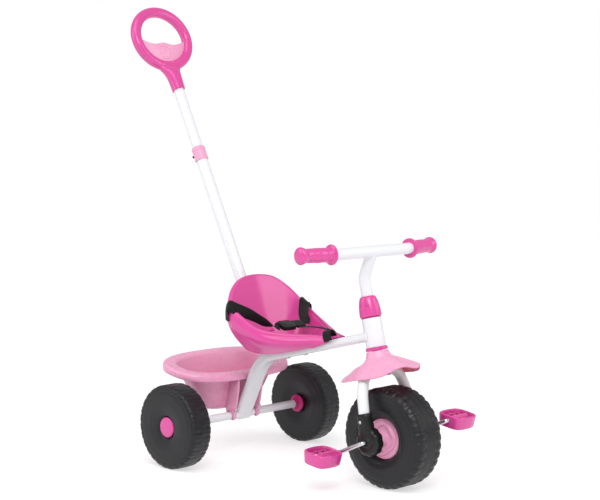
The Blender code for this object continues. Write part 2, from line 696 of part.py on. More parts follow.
def build_covers(steering, dark, steel):
    """A black plastic cover on each fork end: a round boss over the axle below a block that takes the leg."""
    for sign, name in ((1, "left"), (-1, "right")):
        middle = (COVER_IN + COVER_OUT) / 2
        half = (COVER_OUT - COVER_IN) / 2
        rows = []
        for z, wide, deep in ((-0.004, 0.0225, 0.0110), (0.030, 0.0165, half), (COVER_TOP, 0.0150, half)):
            shift = sign * (middle + 0.0005)
            rows.append([Vector((u, shift + v, z)) for u, v in oval(wide, deep, 14, 3.2)])
        cover = add("fork_cover_" + name, loft("fork_cover_" + name, rows), dark, steering)
        disc = [(0, COVER_IN + 0.0015), (COVER_R, COVER_IN + 0.0015), (COVER_R, COVER_OUT - 0.0065),
                (COVER_R - 0.0035, COVER_OUT - 0.0025), (COVER_R - 0.010, COVER_OUT), (0, COVER_OUT)]
        if sign < 0:
            disc = [(r, -y) for r, y in disc[::-1]]
        disc = cutter("cover_disc", turned("cover_disc", disc, 20, "Y"), steering)
        boolean(cover, disc, "UNION")
        leg = sweep("leg_room", fork_half(sign)[-3:] + [Vector((0, sign * (FORK_END_Y + 0.0004), FORK_END_Z - 0.003))],
                    circle(FORK_TUBE_R + GAP, 14), Vector((1, 0, 0)))
        leg = cutter("leg_room", leg, steering)
        low, high = (-TONGUE_W / 2 - GAP, sign * FORK_END_Y - TONGUE_T / 2 - GAP, -0.0125), \
            (TONGUE_W / 2 + GAP, sign * FORK_END_Y + TONGUE_T / 2 + GAP, FORK_END_Z + 0.0063)
        tongue = cutter("tongue_room", box("tongue_room", low, high), steering)
        bore = cutter("cover_bore", pin("cover_bore", CRANK_R + 0.0008, -0.03, 0.03, 14, "Y"), steering)
        bore.location = (0, sign * FORK_END_Y, 0)
        seat = cutter("screw_seat", pin("screw_seat", 0.0019, -0.0035, 0.03, 8), steering)
        put(seat, (COVER_SCREW_X, sign * FORK_END_Y, COVER_SCREW_Z), (0, sign, 0))
        join(cover, (leg, tongue, bore, seat), "DIFFERENCE")
        face = sign * (middle + 0.0005 + half + GAP)
        screw = add("fork_cover_screw_" + name, screw_mesh("fork_cover_screw", 0.0016, 0.0140, 0.0036, 0.0020),
                    steel, steering)
        put(screw, (COVER_SCREW_X, face, COVER_SCREW_Z), (0, sign, 0))


def build_handlebar(steering, white):
    corner = Vector((0, 0, STEM_BEND_AT))
    bar = Vector((BAR_X, 0, BAR_Z))
    low = Vector((0, 0, STEM_LOW))
    path = [low] + bend(low, corner, bar, STEM_BEND_R, 4) + [bar]
    outer = circle(TUBE_R, 16)
    stem = add("handlebar", pipe("handlebar", path, outer, circle(STEERER_R + GAP, 16)), white, steering)
    flat = Vector((0, 1, 0))
    tip = (BAR_DIR * ((BAR_END - BAR_STRAIGHT) / BAR_DIR.y))
    ends = {}
    for sign in (1, -1):
        knee = Vector((BAR_X, sign * BAR_STRAIGHT, BAR_Z))
        end = knee + Vector((tip.x, sign * tip.y, tip.z))
        ends[sign] = bend(bar, knee, end, 0.15, 2) + [end]
    bar_path = ends[-1][::-1] + ends[1]
    up = Vector((0, 0, 1))
    core = cutter("bar_core", pin("bar_core", TUBE_R - TUBE_WALL / 2, -0.05, 0.05, 22, "Y"), steering)
    core.location = bar
    boolean(stem, core)
    tube_mesh = pipe("bar_tube", bar_path, circle(TUBE_R, 16), circle(TUBE_R - TUBE_WALL, 16), up)
    boolean(stem, cutter("bar_tube", tube_mesh, steering), "UNION")
    return stem


def build_grips(steering, pink):
    inner = TUBE_R + GAP
    for sign, name in ((1, "left"), (-1, "right")):
        way = Vector((BAR_DIR.x, sign * BAR_DIR.y, BAR_DIR.z))
        knee = Vector((BAR_X, sign * BAR_STRAIGHT, BAR_Z))
        start = knee + way * (0.0115 / BAR_DIR.y)
        profile = [(inner, 0), (GRIP_FLANGE_R, 0.0005), (GRIP_FLANGE_R, 0.0045), (0.0155, 0.0062),
                   (GRIP_R + 0.0006, 0.040), (0.0150, 0.066), (GRIP_KNOB_R, 0.0755), (GRIP_KNOB_R, 0.0835),
                   (0.0150, 0.0895), (0, 0.0912), (0, 0.0850), (inner, 0.0850)]
        grip = add("grip_" + name, turned("grip_" + name, profile, 18), pink, steering)
        put(grip, start, way)


def build_collar(steering, pink, steel):
    top = HEAD_TOP + BUSH_FLANGE_T + 0.0006
    inner = TUBE_R + GAP
    profile = [(0.0190, top), (0.0228, top), (0.0238, top + 0.003), (0.0240, top + 0.012), (0.0228, top + 0.022),
               (0.0202, top + 0.033), (0.0152, top + 0.0445), (inner, top + 0.0452),
               (inner, top + 0.0260), (0.0165, top + 0.0250), (0.0204, top + 0.012)]
    collar = add("steering_collar", turned("steering_collar", profile, 20), pink, steering)
    turn = math.radians(-58.0)
    way = Vector((math.cos(turn), math.sin(turn), 0.0))
    boss = cutter("collar_boss", pin("collar_boss", 0.0042, 0.0146, 0.0225, 10), steering)
    hole = cutter("collar_hole", pin("collar_hole", 0.0016 + GAP, 0.010, 0.03, 8), steering)
    at = Vector((0, 0, top + 0.0260))
    put(boss, at, way)
    put(hole, at, way)
    boolean(collar, boss, "UNION")
    boolean(collar, hole)
    screw = add("collar_screw", screw_mesh("collar_screw", 0.0016, 0.0095, 0.0034, 0.0020), steel, steering)
    put(screw, at + way * (0.0225 + GAP), way)


SKIRT_EDGE = [(-0.106, 0.0, 0.1355), (-0.100, 0.022, 0.1350), (-0.077, 0.045, 0.1330), (-0.043, 0.0650, 0.1325),
              (-0.005, 0.0765, 0.1320), (0.030, 0.0730, 0.1300), (0.058, 0.0590, 0.1320), (0.078, 0.0410, 0.1410),
              (0.092, 0.0240, 0.1430), (0.101, 0.0100, 0.1385), (0.1035, 0.0, 0.1370)]


# How far out the skirt has come at each share of its fall, to the rear and to the front
SKIRT_DROP = [0.0, 0.25, 0.36, 0.46, 0.57, 0.75, 0.86, 1.0]
SKIRT_BACK = [0.0, 0.05, 0.10, 0.22, 0.48, 0.70, 0.87, 1.0]
SKIRT_FRONT = [0.0, 0.08, 0.18, 0.34, 0.48, 0.72, 0.86, 1.0]


def build_skirt(steering, pale):
    """A bell under the head tube: a neck that falls steeply, then a brim with a lobe to the front and rear."""
    count = 36
    loop = list(SKIRT_EDGE) + [(x, -y, z) for x, y, z in SKIRT_EDGE[-2:0:-1]]
    edge = smooth_loop(loop, count)
    top_z = HEAD_LOW - RING_FLANGE_T - 0.0006
    around = np.arctan2(edge[:, 1], edge[:, 0])
    rows = []
    for r, z in ((STEERER_R + RUN, top_z), (0.0236, top_z - 0.0005)):
        rows.append(np.stack([r * np.cos(around), r * np.sin(around), np.full(count, z)], 1))
    neck = rows[-1]
    side = np.abs(np.sin(around)) ** 1.5
    falls = np.where(edge[:, 0] < 0, -1.0, 1.0)
    for part in (0.20, 0.36, 0.50, 0.64, 0.82, 1.0):
        row = neck.copy()
        back = np.interp(part, SKIRT_DROP, SKIRT_BACK)
        front = np.interp(part, SKIRT_DROP, SKIRT_FRONT)
        far = np.where(falls < 0, back, front) * (1 - side) + part ** 0.48 * side
        row[:, :2] += (edge - neck)[:, :2] * far[:, None]
        row[:, 2] += (edge - neck)[:, 2] * part
        rows.append(row)
    skirt = add("fender_skirt", open_skin("fender_skirt", rows), pale, steering, 60.0)
    return thicken(skirt, SKIRT_T)


# Front wheel, crank and pedals

def shell_outline(points, wall):
    """Closes an outline of a blown wheel: its skin, then the same line set in by the wall."""
    points = [Vector((r, y, 0)) for r, y in points]
    inner = []
    for i, point in enumerate(points):
        before = points[max(i - 1, 0)]
        after = points[min(i + 1, len(points) - 1)]
        along = (after - before).normalized()
        across = Vector((-along.y, along.x, 0))
        inner.append(point + across * wall)
    inner[0].x = points[0].x
    inner[-1].x = points[-1].x
    return [(p.x, p.y) for p in points] + [(p.x, p.y) for p in inner[::-1]]


FRONT_HALF = FRONT_WHEEL_W / 2
FRONT_SIDE = [(0.0100, FRONT_HALF - 0.0185), (FRONT_HUB_R + 0.0010, FRONT_HALF - 0.0185),
              (FRONT_HUB_R + 0.0035, FRONT_HALF - 0.0080), (0.0600, FRONT_HALF - 0.0005),
              (FRONT_WHEEL_R - 0.0267, FRONT_HALF - 0.0005), (FRONT_WHEEL_R - 0.0087, FRONT_HALF - 0.0045),
              (FRONT_WHEEL_R, FRONT_HALF - 0.0140)]
HUB_DISC = [(CRANK_R + GAP, FRONT_HALF - 0.0250), (0.0097, FRONT_HALF - 0.0250), (0.0097, FRONT_HALF - 0.0182),
            (FRONT_HUB_R, FRONT_HALF - 0.0182), (FRONT_HUB_R, FRONT_HALF - 0.0158), (0.0180, FRONT_HALF - 0.0115),
            (0.0130, FRONT_HALF + 0.0010), (CRANK_R + GAP, FRONT_HALF + 0.0010)]


def build_front_wheel(body, dark, pale):
    low = [(r, -y) for r, y in FRONT_SIDE]
    outline = shell_outline(low + FRONT_SIDE[::-1], SHELL)
    add("front_wheel", turned("front_wheel", outline, STEPS_WHEEL, "Y"), dark, body)
    for sign, name in ((1, "left"), (-1, "right")):
        profile = HUB_DISC
        if sign < 0:
            profile = [(r, -y) for r, y in profile[::-1]]
        add("front_hub_disc_" + name, turned("front_hub_disc_" + name, profile, 24, "Y"), pale, body)


def crank_path():
    arm = Vector((-math.cos(CRANK_ANGLE), 0, -math.sin(CRANK_ANGLE))) * CRANK_ARM
    spindle = PEDAL_Y + PEDAL_W / 2 - SPINDLE_SHORT
    points = [arm + Vector((0, -spindle, 0)), arm + Vector((0, -ARM_Y, 0)), Vector((0, -ARM_Y, 0)),
              Vector((0, ARM_Y, 0)), -arm + Vector((0, ARM_Y, 0)), -arm + Vector((0, spindle, 0))]
    path = [points[0]]
    for a, b, c in zip(points, points[1:], points[2:]):
        path += bend(a, b, c, CRANK_BEND_R, 3)
    return path + [points[-1]]


def sweep_rolled(name, path, radius, steps):
    """A round rod along a path that turns in space: its section is carried along without twist."""
    rows = []
    across = None
    for i, point in enumerate(path):
        before = path[max(i - 1, 0)]
        after = path[min(i + 1, len(path) - 1)]
        ahead = (after - before).normalized()
        if across is None:
            across = ahead.orthogonal().normalized()
        across = (across - ahead * across.dot(ahead)).normalized()
        out = ahead.cross(across)
        rows.append([point + across * u + out * v for u, v in circle(radius, steps)])
    return loft(name, rows)


def build_pedals(front, pink, steel):
    add("crank", sweep_rolled("crank", crank_path(), CRANK_R, 10), steel, front)
    arm = Vector((math.cos(CRANK_ANGLE), 0, math.sin(CRANK_ANGLE))) * CRANK_ARM
    for sign, name in ((1, "left"), (-1, "right")):
        spot = arm * sign + Vector((0, sign * PEDAL_Y, 0))
        body = empty("pedal_%s_body" % name, front, spot, (0, PEDAL_TILT, 0))
        outline = pedal_outline(0.0)
        inner = pedal_outline(PEDAL_WALL)
        shift = Vector((-0.004, 0, -0.0042))
        rows = [[shift + Vector((x * s, y * s, z)) for x, y in outline]
                for z, s in ((-PEDAL_H / 2, 0.88), (-PEDAL_H / 2 + 0.003, 0.95), (PEDAL_H / 2 - 0.004, 1.0),
                             (PEDAL_H / 2, 0.975))]
        pedal = add("pedal_" + name, loft("pedal_" + name, rows), pink, body)
        room = [[shift + Vector((x * s, y * s, z)) for x, y in inner]
                for z, s in ((-PEDAL_H / 2 + PEDAL_WALL, 0.965), (PEDAL_H / 2 + 0.002, 0.985))]
        boolean(pedal, cutter("pedal_room", loft("pedal_room", room), body))
        inside = PEDAL_W / 2 - SPINDLE_SHORT
        ends = sorted((-sign * (PEDAL_W / 2 - 0.0005), sign * (inside - 0.0043)))
        barrel = pin("pedal_barrel", 0.0076, ends[0], ends[1], 12, "Y")
        boolean(pedal, cutter("pedal_barrel", barrel, body), "UNION")
        rib = box("pedal_rib", (-PEDAL_L / 2 - 0.0005, -0.0018, -PEDAL_H / 2 - 0.0028),
                  (PEDAL_L / 2 - 0.0075, 0.0018, PEDAL_H / 2 - 0.0090))
        boolean(pedal, cutter("pedal_rib", rib, body), "UNION")
        ends = sorted((-sign * PEDAL_W, sign * (inside - 0.0040)))
        bore = pin("pedal_bore", CRANK_R + GAP, ends[0], ends[1], 10, "Y")
        boolean(pedal, cutter("pedal_bore", bore, body))
        profile = [(CRANK_R + GAP, 0), (0.0085, 0), (0.0080, 0.0012), (CRANK_R + GAP, 0.003)]
        nut = add("pedal_push_nut_" + name, turned("pedal_push_nut", profile, 12, "Y"), steel, front)
        nut.location = spot + Vector((0, sign * (inside - 0.0036), 0))
        nut.rotation_euler = (0, 0, 0 if sign > 0 else math.pi)


def pedal_outline(inset):
    """A block with full sides and well rounded corners."""
    points = []
    for i in range(24):
        turn = 2 * math.pi * (i + 0.5) / 24
        c, s = math.cos(turn), math.sin(turn)
        points.append(((PEDAL_L / 2 - inset) * math.copysign(abs(c) ** 0.55, c),
                       (PEDAL_W / 2 - inset) * math.copysign(abs(s) ** 0.55, s)))
    return points


# Rear wheels

REAR_HALF = REAR_WHEEL_W / 2
REAR_OUTER = [(0.0165, REAR_HALF - 0.0065), (0.0256, REAR_HALF - 0.0065), (0.0266, REAR_HALF - 0.0015),
              (0.0500, REAR_HALF + 0.0020), (REAR_WHEEL_R - 0.0055, REAR_HALF + 0.0010),
              (REAR_WHEEL_R, REAR_HALF - 0.0035)]
REAR_INNER = [(REAR_WHEEL_R, 0.0035 - REAR_HALF), (REAR_WHEEL_R - 0.0055, -REAR_HALF), (0.0500, -0.0005 - REAR_HALF),
              (0.0300, 0.0040 - REAR_HALF), (0.0165, 0.0065 - REAR_HALF)]


def build_rear_wheel(trike, side, name, dark, pink, deep):
    body = empty("rear_wheel_%s_body" % name, trike, REAR_AXLE + Vector((0, side * TRACK / 2, 0)),
                 (0, 0, 0 if side > 0 else math.pi))
    outline = shell_outline((REAR_OUTER + REAR_INNER)[::-1], SHELL)
    add("rear_wheel_" + name, turned("rear_wheel_" + name, outline, STEPS_WHEEL, "Y"), dark, body)
    low = -REAR_HALF
    bush = [(AXLE_R + RUN, low - 0.0125), (0.0125, low - 0.0125), (0.0135, low - 0.0060), (0.0185, low - 0.0045),
            (HUB_R, low - 0.0020), (HUB_R, low + 0.0018), (0.0185, low + 0.0030), (0.0160, low + 0.0062),
            (0.0160, REAR_HALF - 0.0070), (AXLE_R + RUN, REAR_HALF - 0.0070)]
    add("rear_bush_" + name, turned("rear_bush_" + name, bush, STEPS_ROUND, "Y"), deep, body)
    high = REAR_HALF
    cap = [(0, high - 0.0028), (0.0100, high - 0.0028), (0.0100, high - 0.0061), (HUB_R, high - 0.0061),
           (HUB_R, high - 0.0035), (0.0215, high - 0.0018), (0.0120, high - 0.0008), (0, high - 0.0006)]
    add("hub_cap_" + name, turned("hub_cap_" + name, cap, STEPS_ROUND, "Y"), pink, body)


# Bucket

# Half length, inset from the ends of the cross tube, and height above the axle, of each ring of the wall
BUCKET_WALL = [(0.02, 0.1105, 0.0115), (0.039, 0.0755, 0.022), (0.047, 0.0595, 0.0515),
               (0.054, 0.0445, 0.0895), (0.0665, 0.0225, 0.116), (0.071, 0.017, 0.118),
               (0.085, 0.0005, 0.1155), (0.0862, -0.0015, 0.1115), (0.0855, -0.0005, 0.1035)]


def bucket_ring(half_x, inset, height, count=32):
    """A ring of the bucket's wall. The higher it is, the more it slopes with the rim."""
    part = (height - BUCKET_FOOT_Z) / (BUCKET_RIM_Z - BUCKET_FOOT_Z)
    return [Vector((BUCKET_X + u, v, height - BUCKET_SLOPE * u * part))
            for u, v in oval(half_x, CROSS_HALF - inset, count, 2.6)]


def build_bucket(trike, pale, steel):
    body = empty("bucket_body", trike, REAR_AXLE)
    rows = [bucket_ring(*ring)[::-1] for ring in BUCKET_WALL]
    skin = open_skin("bucket", rows, Vector((BUCKET_X, 0, BUCKET_FOOT_Z)))
    bucket = add("bucket", skin, pale, body, 60.0)
    thicken(bucket, BUCKET_T)
    for sign, name in ((1, "left"), (-1, "right")):
        y = sign * RIB_Y
        shape = [(0.0, -0.004), (0.0135, 0.004), (0.0200, 0.030), (0.0265, 0.062), (0.0285, 0.090),
                 (-0.0020, 0.090), (-0.0095, 0.052), (-0.0150, 0.028), (-0.0170, 0.0122), (-0.0100, 0.000)]
        rows = [[Vector((x, y + w, z)) for x, z in shape] for w in (-RIB_T / 2, RIB_T / 2)]
        rib = cutter("bucket_rib", loft("bucket_rib", rows), body)
        ring = cutter("bucket_clip", pin("bucket_clip", CROSS_R + GAP + CLIP_WALL, -0.0052, 0.0052, 16, "Y"), body)
        ring.location = (0, y, 0)
        join(bucket, (rib, ring))
        bore = cutter("clip_bore", pin("clip_bore", CROSS_R + GAP, -0.012, 0.012, 14, "Y"), body)
        bore.location = (0, y, 0)
        mouth = box("clip_mouth", (-0.0070, y - 0.012, -0.030), (0.0070, y + 0.012, 0.0))
        boss = cutter("rib_boss", pin("rib_boss", 0.0046, -0.0058, 0.0058, 10), body)
        put(boss, (0.0125, y, 0.0175), SCREW_WAY)
        hole = cutter("rib_hole", pin("rib_hole", 0.0018, -0.0040, 0.02, 8), body)
        put(hole, (0.0125, y, 0.0175), SCREW_WAY)
        boolean(bucket, boss, "UNION")
        join(bucket, (bore, cutter("clip_mouth", mouth, body), hole), "DIFFERENCE")
        screw = add("bucket_screw_" + name, screw_mesh("bucket_screw", 0.0015, 0.0085, 0.0033, 0.0018), steel, body)
        put(screw, Vector((0.0125, y, 0.0175)) + SCREW_WAY * (0.0058 + GAP), SCREW_WAY)


SCREW_WAY = Vector((0.92, 0.0, -0.39)).normalized()


# Push handle

# The neck from the rod to the ring's foot: shares of the way up and of the way back, half width and half depth
NECK_SHAPE = [(0.0, 0.0, NECK_R, NECK_R), (0.20, 0.0, NECK_R + 0.0005, NECK_R), (0.43, 0.03, 0.0175, 0.0158),
              (0.64, 0.22, 0.0210, 0.0152), (0.82, 0.55, 0.0285, 0.0135), (1.0, 0.97, 0.0375, 0.0108)]


def build_handle(rod, white, pink, pale):
    body = empty("push_handle_body", rod)
    add("push_rod_upper", tube("push_rod_upper", UPPER_ROD_R, UPPER_ROD_R - UPPER_ROD_WALL, UPPER_ROD_LOW,
                               NECK_AT + NECK_HOLD), white, body)
    ring_body = empty("ring_frame", body, (0, 0, RING_AT), (0, RING_TURN, 0))
    rows = []
    count = 30
    for i in range(count):
        turn = 2 * math.pi * i / count
        middle = Vector((0, RING_WIDE * math.cos(turn), RING_HIGH * math.sin(turn)))
        out = Vector((0, math.cos(turn) / RING_WIDE, math.sin(turn) / RING_HIGH)).normalized()
        rows.append([middle + out * u + Vector((v, 0, 0)) for u, v in circle(RING_TUBE_R, 10)])
    ring = add("ring_handle", loft("ring_handle", rows, closed=True), pink, ring_body)
    up = RING_AT - RING_HIGH * math.cos(RING_TURN) - NECK_AT
    back = -RING_HIGH * math.sin(RING_TURN)
    neck_rows = [[Vector((back * aside + v, u, NECK_AT + up * along)) for u, v in oval(wide, deep, 18, 2.0)]
                 for along, aside, wide, deep in NECK_SHAPE]
    neck = cutter("ring_neck", loft("ring_neck", neck_rows), body)
    boolean(ring, neck, "UNION")
    bore = pin("neck_bore", UPPER_ROD_R + GAP, 0.02, NECK_AT + NECK_HOLD + GAP, STEPS_ROUND)
    boolean(ring, cutter("neck_bore", bore, body))
    points = []
    steps = 22
    inner_y = RING_WIDE - RING_TUBE_R + 0.0035
    inner_z = RING_HIGH - RING_TUBE_R + 0.0035
    start = math.radians(190.0)
    for i in range(steps + 1):
        turn = start + (math.radians(350.0) - start) * i / steps
        points.append((inner_y * math.cos(turn), inner_z * math.sin(turn)))
    wave = 12
    right, left = points[-1], points[0]
    for i in range(1, wave):
        part = i / wave
        y = right[0] + (left[0] - right[0]) * part
        z = right[1] - 0.012 * math.sin(math.pi * part) + 0.004 * math.cos(6 * math.pi * part) - 0.004
        points.append((y, z))
    rows = [[Vector((x, y, z)) for y, z in points] for x in (-INSERT_T / 2, INSERT_T / 2)]
    insert = add("handle_insert", loft("handle_insert", rows), pale, ring_body)
    for sign in (1, -1):
        disc = cutter("insert_disc", tube("insert_disc", 0.0180, 0.0150, INSERT_T / 2 - 0.001, INSERT_T / 2 + 0.0012, 20),
                      ring_body)
        put(disc, (0, 0, -0.0335), (sign, 0, 0))
        boolean(insert, disc, "UNION")
    room = cutter("insert_room", grown_plate(points, INSERT_T / 2 + GAP, 0.0010), ring_body)
    boolean(ring, room)


def grown_plate(points, half, grow):
    """The insert's outline as a plate, made a little larger all round."""
    middle = Vector((0, 0, -0.030))
    rows = []
    for x in (-half, half):
        row = []
        for y, z in points:
            out = Vector((0, y, z)) - middle
            lift = grow if z > -0.035 else 0.0
            row.append(Vector((x, y, z + lift)) + out.normalized() * grow)
        rows.append(row)
    return loft("insert_room", rows)


def main():
    clear_scene()
    white = make_material("white_paint", (0.86, 0.87, 0.90), 0.30)
    steel = make_material("bright_steel", (0.62, 0.62, 0.64), 0.28, 1.0)
    pink = make_material("pink_plastic", (0.72, 0.06, 0.29), 0.32)
    deep = make_material("deep_pink_plastic", (0.45, 0.02, 0.12), 0.35)
    pale = make_material("pale_pink_plastic", (0.78, 0.33, 0.50), 0.35)
    dark = make_material("charcoal_plastic", (0.035, 0.034, 0.040), 0.55)
    black = make_material("black_plastic", (0.02, 0.02, 0.022), 0.45)
    webbing = make_material("black_webbing", (0.022, 0.024, 0.026), 0.85)
    trike = empty("tricycle", at=(-CENTRE_X, 0, 0))
    steering = empty("steering", trike, FRONT_AXLE, (0, -HEAD_LEAN, 0))
    front = empty("front_wheel_body", steering, (0, 0, 0), (0, HEAD_LEAN, 0))
    rod = empty("push_rod_line", trike, ROD_FOOT, (0, -ROD_LEAN, 0))
    build_frame(trike, steering, rod, white)
    build_rear_axle(trike, steel)
    build_headset(steering, deep)
    build_rod(rod, white, pale, black, trike)
    build_seat(trike, pink, steel)
    build_belt(trike, webbing, black)
    build_fork(steering, white)
    build_covers(steering, black, steel)
    build_handlebar(steering, white)
    build_grips(steering, pink)
    build_collar(steering, pink, steel)
    build_skirt(steering, pale)
    build_front_wheel(front, dark, pale)
    build_pedals(front, pink, steel)
    for side, name in ((1, "left"), (-1, "right")):
        build_rear_wheel(trike, side, name, dark, pink, deep)
    build_bucket(trike, pale, steel)
    build_handle(rod, white, pink, pale)


main()
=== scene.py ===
# %% [markdown]
# # A child's tricycle with a push handle
# The engineering model gives every piece its place and its joints, but its surfaces are coarse.
# This lesson lays fine surfaces over it: painted tubes, glossy and pale pink mouldings, dull
# blown wheels with treads, and black webbing. Each shape is a grid of points worked out with numpy.

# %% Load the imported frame
import json
import math

import bpy
import numpy as np
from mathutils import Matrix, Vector

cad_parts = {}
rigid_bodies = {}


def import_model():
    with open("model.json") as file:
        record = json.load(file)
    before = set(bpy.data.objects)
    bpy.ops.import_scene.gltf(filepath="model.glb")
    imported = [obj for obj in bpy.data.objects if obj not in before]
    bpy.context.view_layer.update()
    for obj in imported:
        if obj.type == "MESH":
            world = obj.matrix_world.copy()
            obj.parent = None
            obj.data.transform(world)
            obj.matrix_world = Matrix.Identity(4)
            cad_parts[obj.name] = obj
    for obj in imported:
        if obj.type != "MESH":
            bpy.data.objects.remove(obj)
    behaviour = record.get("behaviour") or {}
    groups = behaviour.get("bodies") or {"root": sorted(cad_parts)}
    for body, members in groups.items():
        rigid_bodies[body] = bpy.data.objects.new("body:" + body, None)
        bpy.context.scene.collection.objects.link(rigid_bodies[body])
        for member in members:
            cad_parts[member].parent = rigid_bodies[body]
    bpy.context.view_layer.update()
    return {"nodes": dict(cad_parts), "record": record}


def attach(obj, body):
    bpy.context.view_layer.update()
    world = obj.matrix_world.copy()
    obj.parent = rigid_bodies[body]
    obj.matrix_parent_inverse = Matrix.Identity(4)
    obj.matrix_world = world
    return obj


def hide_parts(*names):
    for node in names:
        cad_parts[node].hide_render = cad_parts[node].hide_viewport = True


for leftover in list(bpy.data.objects):
    bpy.data.objects.remove(leftover, do_unlink=True)
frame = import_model()

# %% [markdown]
# ## Places
# Some groups of pieces stand askew: the steering leans back 14 degrees, the push rod 26.3, its
# ring 18.8, the pedals dip by 8, and the right rear wheel is the left one turned round. Each
# shape is drawn upright round its own axis, and a small function then moves it to its place.
# Writing the points in the world directly was the other way, but nobody can read such numbers.

# %% Functions that put a shape in its place
def leaning(origin, degrees=0.0, turned_round=False):
    """x' = x cos a - z sin a and z' = x sin a + z cos a, then a shift to origin.
    Turned round, x and y change sign first."""
    a = math.radians(degrees)
    turn = np.array([[math.cos(a), 0, -math.sin(a)], [0, 1, 0], [math.sin(a), 0, math.cos(a)]])
    if turned_round:
        turn = turn @ np.diag([-1.0, -1.0, 1.0])
    return lambda points: np.asarray(points, float) @ turn.T + np.array(origin)


def mm(table):
    """Tables of points are written in millimetres, and the scene is in metres."""
    return np.array(table, float) / 1000


def direction(degrees):
    """A unit vector in the middle plane, so many degrees above straight ahead."""
    return np.array([math.cos(math.radians(degrees)), 0, math.sin(math.radians(degrees))])


SIDES = ((1, "left"), (-1, "right"))
STEERING_LEAN, ROD_LEAN, RING_LEAN, PEDAL_LEAN = 14.0, 26.3, 18.8, -8.0
MIDDLE_X = 0.127303
FRONT_AXLE_Z, REAR_AXLE_Z = 0.1087, 0.0955
FRONT_AXLE = np.array([0.339697, 0, FRONT_AXLE_Z])
ROD_FOOT = (-0.044419, 0, 0.238118)
RING_MIDDLE = (-0.412838, 0, 0.983551)
HALF_TRACK, PEDAL_OUT = 0.2095, 0.1408
on_trike = leaning((-MIDDLE_X, 0, 0))
on_steering = leaning(FRONT_AXLE, STEERING_LEAN)
on_front_axle = leaning(FRONT_AXLE)
on_rod = leaning(ROD_FOOT, ROD_LEAN)
on_ring = leaning(RING_MIDDLE, RING_LEAN)
on_bucket = leaning((-MIDDLE_X, 0, REAR_AXLE_Z))
on_rear_wheel = {name: leaning((-MIDDLE_X, side * HALF_TRACK, REAR_AXLE_Z), 0.0, side < 0)
                 for side, name in SIDES}
arm = 0.0735 * direction(24)
on_pedal = {name: leaning(FRONT_AXLE + side * arm + (0, side * PEDAL_OUT, 0), PEDAL_LEAN)
            for side, name in SIDES}
print("the ring handle's middle is at", on_ring([0, 0, 0]).round(3))

# %% [markdown]
# ## One way to make every skin
# A grid of points, rows by columns, becomes a mesh when each cell turns into one four-sided
# face. The columns close round. The rows either close too, as on a tube with a bore, or end in
# two hubs, as on a bottle. The signed volume tells whether the faces look outward. Lengths are
# in metres, and only tables of points are written in millimetres.

# %% The skin, and a turned shape
def linked(name, data):
    """A new object in the scene."""
    piece = bpy.data.objects.new(name, data)
    bpy.context.scene.collection.objects.link(piece)
    return piece


def skin(name, rows, hubs=None, bored=False, sharp=40.0, weave=None):
    """Faces join point (i, j) to (i+1, j), (i+1, j+1) and (i, j+1). Where the sum of
    a . (b x c) over the faces is negative, every face is turned over."""
    rows = np.asarray(rows, float)
    count, around = rows.shape[:2]
    points = rows.reshape(-1, 3)
    index = np.arange(count * around).reshape(count, around)
    low = index if bored else index[:-1]
    high = np.roll(index, -1, 0) if bored else index[1:]
    quads = np.stack([low, np.roll(low, -1, 1), np.roll(high, -1, 1), high], -1).reshape(-1, 4)
    fans = np.zeros((0, 3), int)
    if not bored:
        hubs = rows[[0, -1]].mean(1) if hubs is None else np.array(hubs, float)
        points = np.vstack([points, hubs])
        first, last, hub = index[0], index[-1], count * around
        fans = np.vstack([np.stack([np.roll(first, -1), first, np.full(around, hub)], -1),
                          np.stack([last, np.roll(last, -1), np.full(around, hub + 1)], -1)])
    corners = np.vstack([quads[:, [0, 1, 2]], quads[:, [0, 2, 3]], fans])
    a, b, c = (points[corners[:, k]] - points.mean(0) for k in range(3))
    if (a * np.cross(b, c)).sum() < 0:
        quads, fans = quads[:, ::-1], fans[:, ::-1]
    mesh = bpy.data.meshes.new(name)
    mesh.from_pydata(points.tolist(), [], quads.tolist() + fans.tolist())
    if weave is not None:
        flat = np.vstack([np.stack(weave, -1).reshape(-1, 2), np.zeros((len(points) - count * around, 2))])
        corner = np.empty(len(mesh.loops), np.int32)
        mesh.loops.foreach_get("vertex_index", corner)
        mesh.uv_layers.new(name="weave").data.foreach_set("uv", flat[corner].astype(np.float32).ravel())
    mesh.shade_smooth()
    mesh.set_sharp_from_angle(angle=math.radians(sharp))
    return linked(name, mesh)


def whole_turn(count):
    return np.linspace(0, 2 * np.pi, count, endpoint=False)


def eased(t):
    """3 t^2 - 2 t^3, with t held between 0 and 1."""
    t = np.clip(t, 0, 1)
    return t * t * (3 - 2 * t)


def at_height(outline, z):
    return np.column_stack([outline, np.full(len(outline), z)])


def unit(vectors):
    """Each vector along the last axis, brought to length 1."""
    return vectors / np.maximum(np.linalg.norm(vectors, axis=-1, keepdims=True), 1e-9)


def rounded(outline, radius, steps=4, closed=True):
    """Each corner P between A and B becomes the curve (1-t)^2 A' + 2t(1-t) P + t^2 B', where A'
    and B' lie on its two sides, a radius away or half a side, whichever is less."""
    p = np.asarray(outline, float)
    a, b = np.roll(p, 1, 0), np.roll(p, -1, 0)
    to_a, to_b = a - p, b - p
    long_a = np.linalg.norm(to_a, axis=1, keepdims=True)
    long_b = np.linalg.norm(to_b, axis=1, keepdims=True)
    near_a = p + to_a / long_a * np.minimum(radius, long_a * 0.48)
    near_b = p + to_b / long_b * np.minimum(radius, long_b * 0.48)
    t = np.linspace(0, 1, steps + 1)[None, :, None]
    curve = (1 - t) ** 2 * near_a[:, None] + 2 * t * (1 - t) * p[:, None] + t ** 2 * near_b[:, None]
    if closed:
        return curve.reshape(-1, p.shape[1])
    return np.vstack([p[:1], curve[1:-1].reshape(-1, p.shape[1]), p[-1:]])


